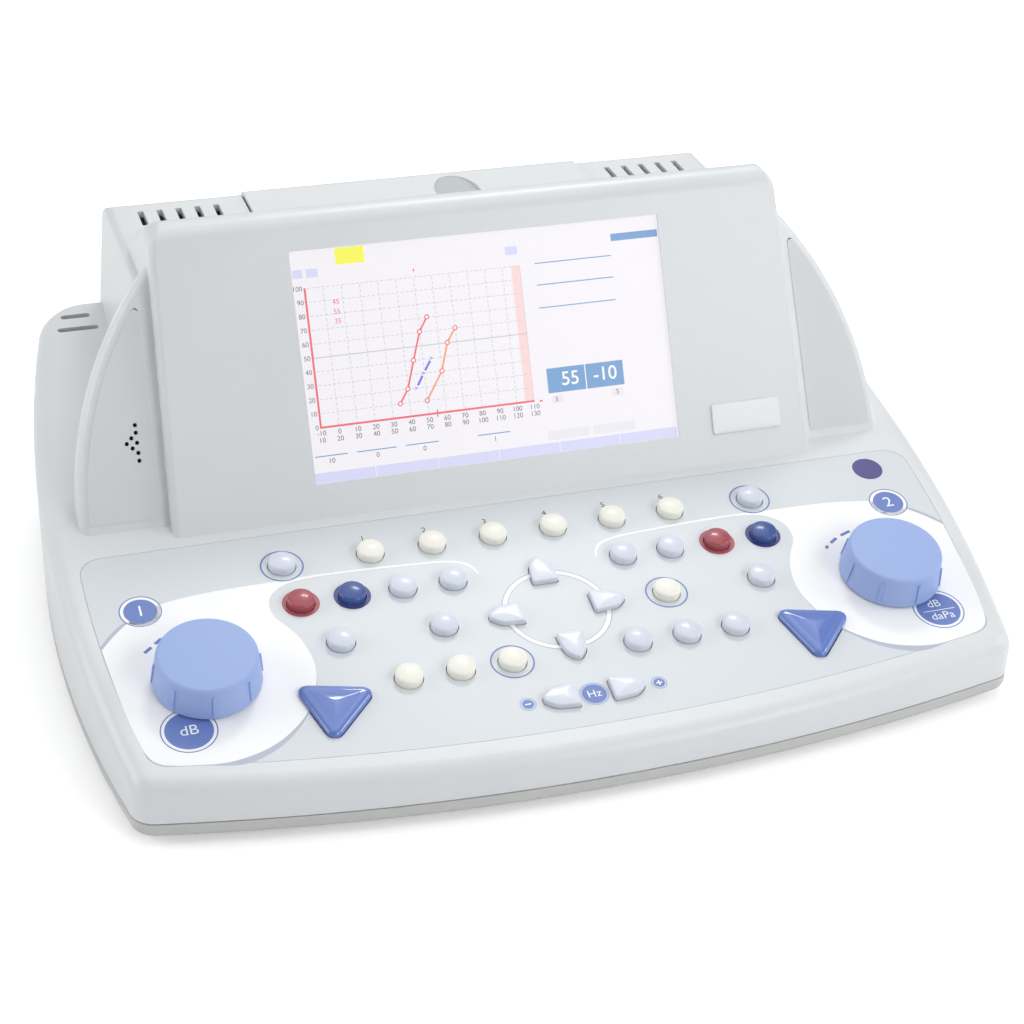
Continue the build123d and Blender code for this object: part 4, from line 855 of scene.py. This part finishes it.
# Words, place and size of the plain numbers, and left, right and height of the ruled lines
RED_NUMBERS = (("45", 71.5), ("55", 67.6), ("35", 63.8))
DARK_NUMBERS = (
    ("10", -70.1, 8.6), ("0", -51.0, 8.6), ("0", -31.3, 8.7), ("1", -1.2, 8.8), ("5", 26.9, 21.8),
    ("5", 53.6, 21.9),
)
RULES = (
    (-76.8, -63.4, 10.8), (-59.5, -43.0, 10.8), (-39.2, -25.3, 10.9), (-8.6, 5.3, 11.1),
    (23.6, 56.9, 78.2), (23.5, 56.9, 69.3), (23.5, 57.0, 59.9),
)
RULE_WIDTH = 0.22
BLUE_FIELDS = ((57.5, 84.0, 78.1, 87.0), (23.6, 24.6, 40.1, 34.8), (40.6, 24.6, 57.0, 34.8))
TAGS = ((-77.3, 82.2, -73.2, 85.6), (-71.7, 82.1, -67.0, 85.6), (11.5, 82.7, 16.6, 86.2))
GREY_TAGS = (
    (24.8, 20.2, 29.6, 23.4), (50.8, 20.2, 56.2, 23.4), (21.5, 5.3, 39.6, 9.2), (41.2, 5.3, 59.7, 9.2),
)
FOOT_EDGES = (-78.1, -52.65, -26.3, -0.2, 26.0, 52.5, 78.1)


def screen_ink(name, colour, level):
    place = FACE @ Matrix.Translation((0, SCREEN_LOW * MM, 0))
    return Ink(name, lit(name, colour, SCREEN_GLOW), "screen_window", place, level)


def draw_grid(grid):
    """Dashed lines across the graph, and a whole one at half its height."""
    x_low, y_low, x_high, y_high = GRAPH
    for i in range(1, 13):
        x = x_low + i * GRAPH_X
        for j in range(28):
            y = y_low + j * DASH_PITCH
            if y + DASH < y_high:
                grid.box(x - GRID_WIDTH, y, x + GRID_WIDTH, y + DASH)
    for j in range(1, 11):
        y = y_low + j * GRAPH_Y
        if j == 5:
            grid.box(x_low, y - RULE_WIDTH, x_high, y + RULE_WIDTH)
            continue
        for i in range(44):
            x = x_low + 1 + i * DASH_PITCH
            if x + DASH < x_high:
                grid.box(x, y - GRID_WIDTH, x + DASH, y + GRID_WIDTH)


def draw_axes(red, dark):
    """Red axes with their marks, and the numbers along them."""
    x_low, y_low, x_high, y_high = GRAPH
    width = AXIS_WIDTH
    red.box(x_low - width, y_low - width, x_low + width, y_high)
    red.box(x_low + width + 0.01, y_low - width, x_high, y_low + width)
    red.box(-24.65, y_low + width, -24.15, y_low + 1.5)
    red.box(-24.65, y_low - 1.5, -24.15, y_low - width)
    red.stroke((19.4, 22.0), (20.6, 22.0), 0.7)
    red.box(-28.0, 80.3, -27.4, 81.3)
    for j in range(11):
        dark.text(str(10 * j), x_low - 0.9, y_low + j * GRAPH_Y, 2.8, align="RIGHT")
    for i in range(13):
        x = x_low + i * GRAPH_X
        dark.text(str(10 * i - 10), x, 19.9, 2.9)
        dark.text(str(10 * i + 10), x, 17.1, 2.9)


def draw_curves(red, orange, blue, white):
    """Two curves with a small ring at each point, and a short dashed one with arrowheads."""
    for points, ink in ((RED_CURVE, red), (ORANGE_CURVE, orange)):
        for start, end in zip(points, points[1:]):
            ink.stroke(start, end, 0.75)
        for x, y in points:
            white.disc(x, y, 0.62, steps=24)
            red.ring(x, y, 0.62, 1.08, steps=24)
    for start, end in zip(BLUE_CURVE, BLUE_CURVE[1:]):
        near = Vector(start).lerp(Vector(end), 0.18)
        far = Vector(start).lerp(Vector(end), 0.82)
        blue.stroke(near, far, 0.9)
    for x, y in BLUE_CURVE:
        blue.stroke((x - 0.8, y + 0.6), (x + 0.3, y), 0.28)
        blue.stroke((x - 0.8, y - 0.6), (x + 0.3, y), 0.28)


def draw_screen():
    paper = screen_ink("picture_ground", (247, 243, 248), -2.38)
    grid = screen_ink("picture_grid", (200, 201, 206), -2.33)
    band = screen_ink("picture_pink_band", (253, 214, 213), -2.34)
    red = screen_ink("picture_red", (240, 82, 92), -2.30)
    orange = screen_ink("picture_orange", (246, 150, 84), -2.30)
    blue = screen_ink("picture_blue", (84, 92, 232), -2.30)
    rule = screen_ink("picture_rules", (96, 152, 206), -2.32)
    tag = screen_ink("picture_tags", (216, 216, 250), -2.33)
    yellow = screen_ink("picture_yellow", (252, 250, 40), -2.33)
    grey = screen_ink("picture_grey_tags", (236, 234, 240), -2.34)
    dark = screen_ink("picture_numbers", (66, 66, 70), -2.31)
    white = screen_ink("picture_white", (250, 252, 255), -2.29)
    paper.box(-79.6, -1.4, 79.6, 94.4)
    draw_grid(grid)
    band.box(13.3, GRAPH[1], 17.2, GRAPH[3])
    draw_axes(red, dark)
    draw_curves(red, orange, blue, white)
    for words, y in RED_NUMBERS:
        red.text(words, -61.0, y, 2.9)
    for words, x, y in DARK_NUMBERS:
        dark.text(words, x, y, 2.9)
    for left, right, y in RULES:
        rule.box(left, y - RULE_WIDTH, right, y + RULE_WIDTH)
    for ink, boxes in ((rule, BLUE_FIELDS), (tag, TAGS), (grey, GREY_TAGS)):
        for corners in boxes:
            ink.box(*corners)
    white.text("55", 33.6, 29.7, 8.0, width=0.06)
    white.text("-10", 48.9, 29.9, 8.0, width=0.06)
    yellow.box(-59.2, 86.1, -47.3, 92.7)
    for left, right in zip(FOOT_EDGES, FOOT_EDGES[1:]):
        tag.box(left + 0.15, 0, right - 0.15, 4.2)
    for ink in (paper, grid, band, red, orange, blue, rule, tag, yellow, grey, dark, white):
        ink.lay()


def make_window():
    """Pane of the display, a little smaller than its opening's rebate."""
    bm = bmesh.new()
    bmesh.ops.create_cube(bm, size=1.0)
    bmesh.ops.scale(bm, vec=[length * MM for length in PANE_SIZE], verts=bm.verts)
    bmesh.ops.bevel(bm, geom=bm.edges[:], offset=PANE_EASE * MM, segments=2, profile=0.5, affect="EDGES",
                    material=-1)
    place = FACE @ Matrix.Translation((0, (SCREEN_LOW + SCREEN_MIDDLE) * MM, PANE_DEPTH * MM))
    bmesh.ops.transform(bm, matrix=place, verts=bm.verts)
    window = finish_piece("display_pane", bm, MATERIALS["screen_window"], "casing")
    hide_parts("display_window")


BADGE_SIZE = (31.0, 13.0, 1.0)
BADGE_CORNER = 1.2
BADGE_EASE = 0.45
BADGE_DOME = 0.12
BADGE_PLACE = (108.6, SCREEN_LOW + 5.2, 0.3)


def make_badge():
    """Bare domed plate beside the screen."""
    bm = bmesh.new()
    bmesh.ops.create_cube(bm, size=1.0)
    bmesh.ops.scale(bm, vec=[length * MM for length in BADGE_SIZE], verts=bm.verts)
    upright = [e for e in bm.edges if abs(e.verts[0].co.z - e.verts[1].co.z) > 1e-5]
    bmesh.ops.bevel(bm, geom=upright, offset=BADGE_CORNER * MM, segments=4, profile=0.5, affect="EDGES",
                    material=-1)
    ease_rim(bm, BADGE_SIZE[2] / 2, BADGE_EASE)
    crown(bm, BADGE_DOME)
    place = FACE @ Matrix.Translation([length * MM for length in BADGE_PLACE])
    bmesh.ops.transform(bm, matrix=place, verts=bm.verts)
    finish = moulded("badge_doming", (228, 231, 232), 0.34, spark=0.0, coat=0.3)
    finish_piece("bare_badge", bm, finish, "casing")


# Whole object

# Nodes inside that only take a material, and nodes that a shaded copy of themselves stands for
HIDDEN_NODES = ("monitor_speaker", "rotary_encoders", "keypad_board", "main_board", "air_pump")
COPIED_NODES = (
    "base_tray", "keypad_overlay", "lcd_panel", "lid_hinge_pin", "printer_chassis", "paper_roll",
    "platen_roller", "rear_panel", "rear_sockets", "probe_socket", "power_inlet", "power_rocker",
    "rubber_feet", "housing_screws",
)

for node_name in HIDDEN_NODES:
    cad_node = frame["nodes"][node_name]
    cad_node.data.materials.clear()
    cad_node.data.materials.append(MATERIALS[NODE_SLOT[node_name]])
for node_name in COPIED_NODES:
    stand_for(node_name, merged_copy(node_name))
make_casing()
make_side_panel("left_speaker_panel")
make_side_panel("right_side_panel")
make_lid()
make_scoop_painted_shade_sheet()
make_keys()
make_knob(-1, "left_knob", -4)
make_knob(1, "right_knob", 7)
print_film()
draw_screen()
make_window()
make_badge()


# Floor and light

FLOOR_SIZE = 8.0
FLOOR_LIFT = 0.32
WORLD_LIGHT = 0.32

# Name, place, target, size and power of each light
LIGHTS = (
    ("key_right", (0.9, -1.6, 1.0), (0.04, 0.03, 0.1), (0.8, 0.8), 11),
    ("right_high", (1.9, -0.5, 1.15), (0.1, 0, 0.1), (1.0, 1.0), 12),
    ("top_soft", (0.2, 0.7, 3.0), (0, 0, 0.05), (3.0, 3.0), 24),
    ("left_soft", (-2.0, 0.5, 1.0), (0, 0, 0.05), (1.6, 1.2), 18),
    ("glint", (0.5, 0.95, 1.5), (0, -0.08, 0.05), (0.45, 0.3), 6),
    ("back_sheen", (0.5, 1.95, 0.95), (0, 0.11, 0.13), (0.8, 0.4), 1.4),
)


def floor_paint():
    """Pale matt floor that looks a little lighter to the camera than it is to the object."""
    material = moulded("studio_floor", (250, 250, 251), 0.9, spark=0.0, cloud=0.0)
    nodes = material.node_tree.nodes
    links = material.node_tree.links
    shader = nodes["Principled BSDF"]
    shader.inputs["Emission Color"].default_value = (1, 1, 1, 1)
    path = nodes.new("ShaderNodeLightPath")
    lift = nodes.new("ShaderNodeMath")
    lift.operation = "MULTIPLY"
    lift.inputs[1].default_value = FLOOR_LIFT
    links.new(path.outputs["Is Camera Ray"], lift.inputs[0])
    links.new(lift.outputs[0], shader.inputs["Emission Strength"])
    return material


def make_floor():
    bm = bmesh.new()
    bmesh.ops.create_grid(bm, x_segments=1, y_segments=1, size=FLOOR_SIZE)
    mesh = bpy.data.meshes.new("floor")
    bm.to_mesh(mesh)
    bm.free()
    mesh.materials.append(floor_paint())
    floor = bpy.data.objects.new("floor", mesh)
    SCENE.collection.objects.link(floor)


def make_light(name, place, target, size, power):
    """Soft rectangular light that faces its target."""
    data = bpy.data.lights.new(name, "AREA")
    data.shape = "RECTANGLE"
    data.size = size[0]
    data.size_y = size[1]
    data.energy = power
    light = bpy.data.objects.new(name, data)
    SCENE.collection.objects.link(light)
    light.location = place
    light.rotation_euler = (Vector(target) - Vector(place)).to_track_quat("-Z", "Y").to_euler()


def make_world():
    world = bpy.data.worlds.new("studio")
    world.use_nodes = True
    background = world.node_tree.nodes["Background"]
    background.inputs["Color"].default_value = (1, 1, 1, 1)
    background.inputs["Strength"].default_value = WORLD_LIGHT
    SCENE.world = world


make_floor()
make_world()
for light_values in LIGHTS:
    make_light(*light_values)
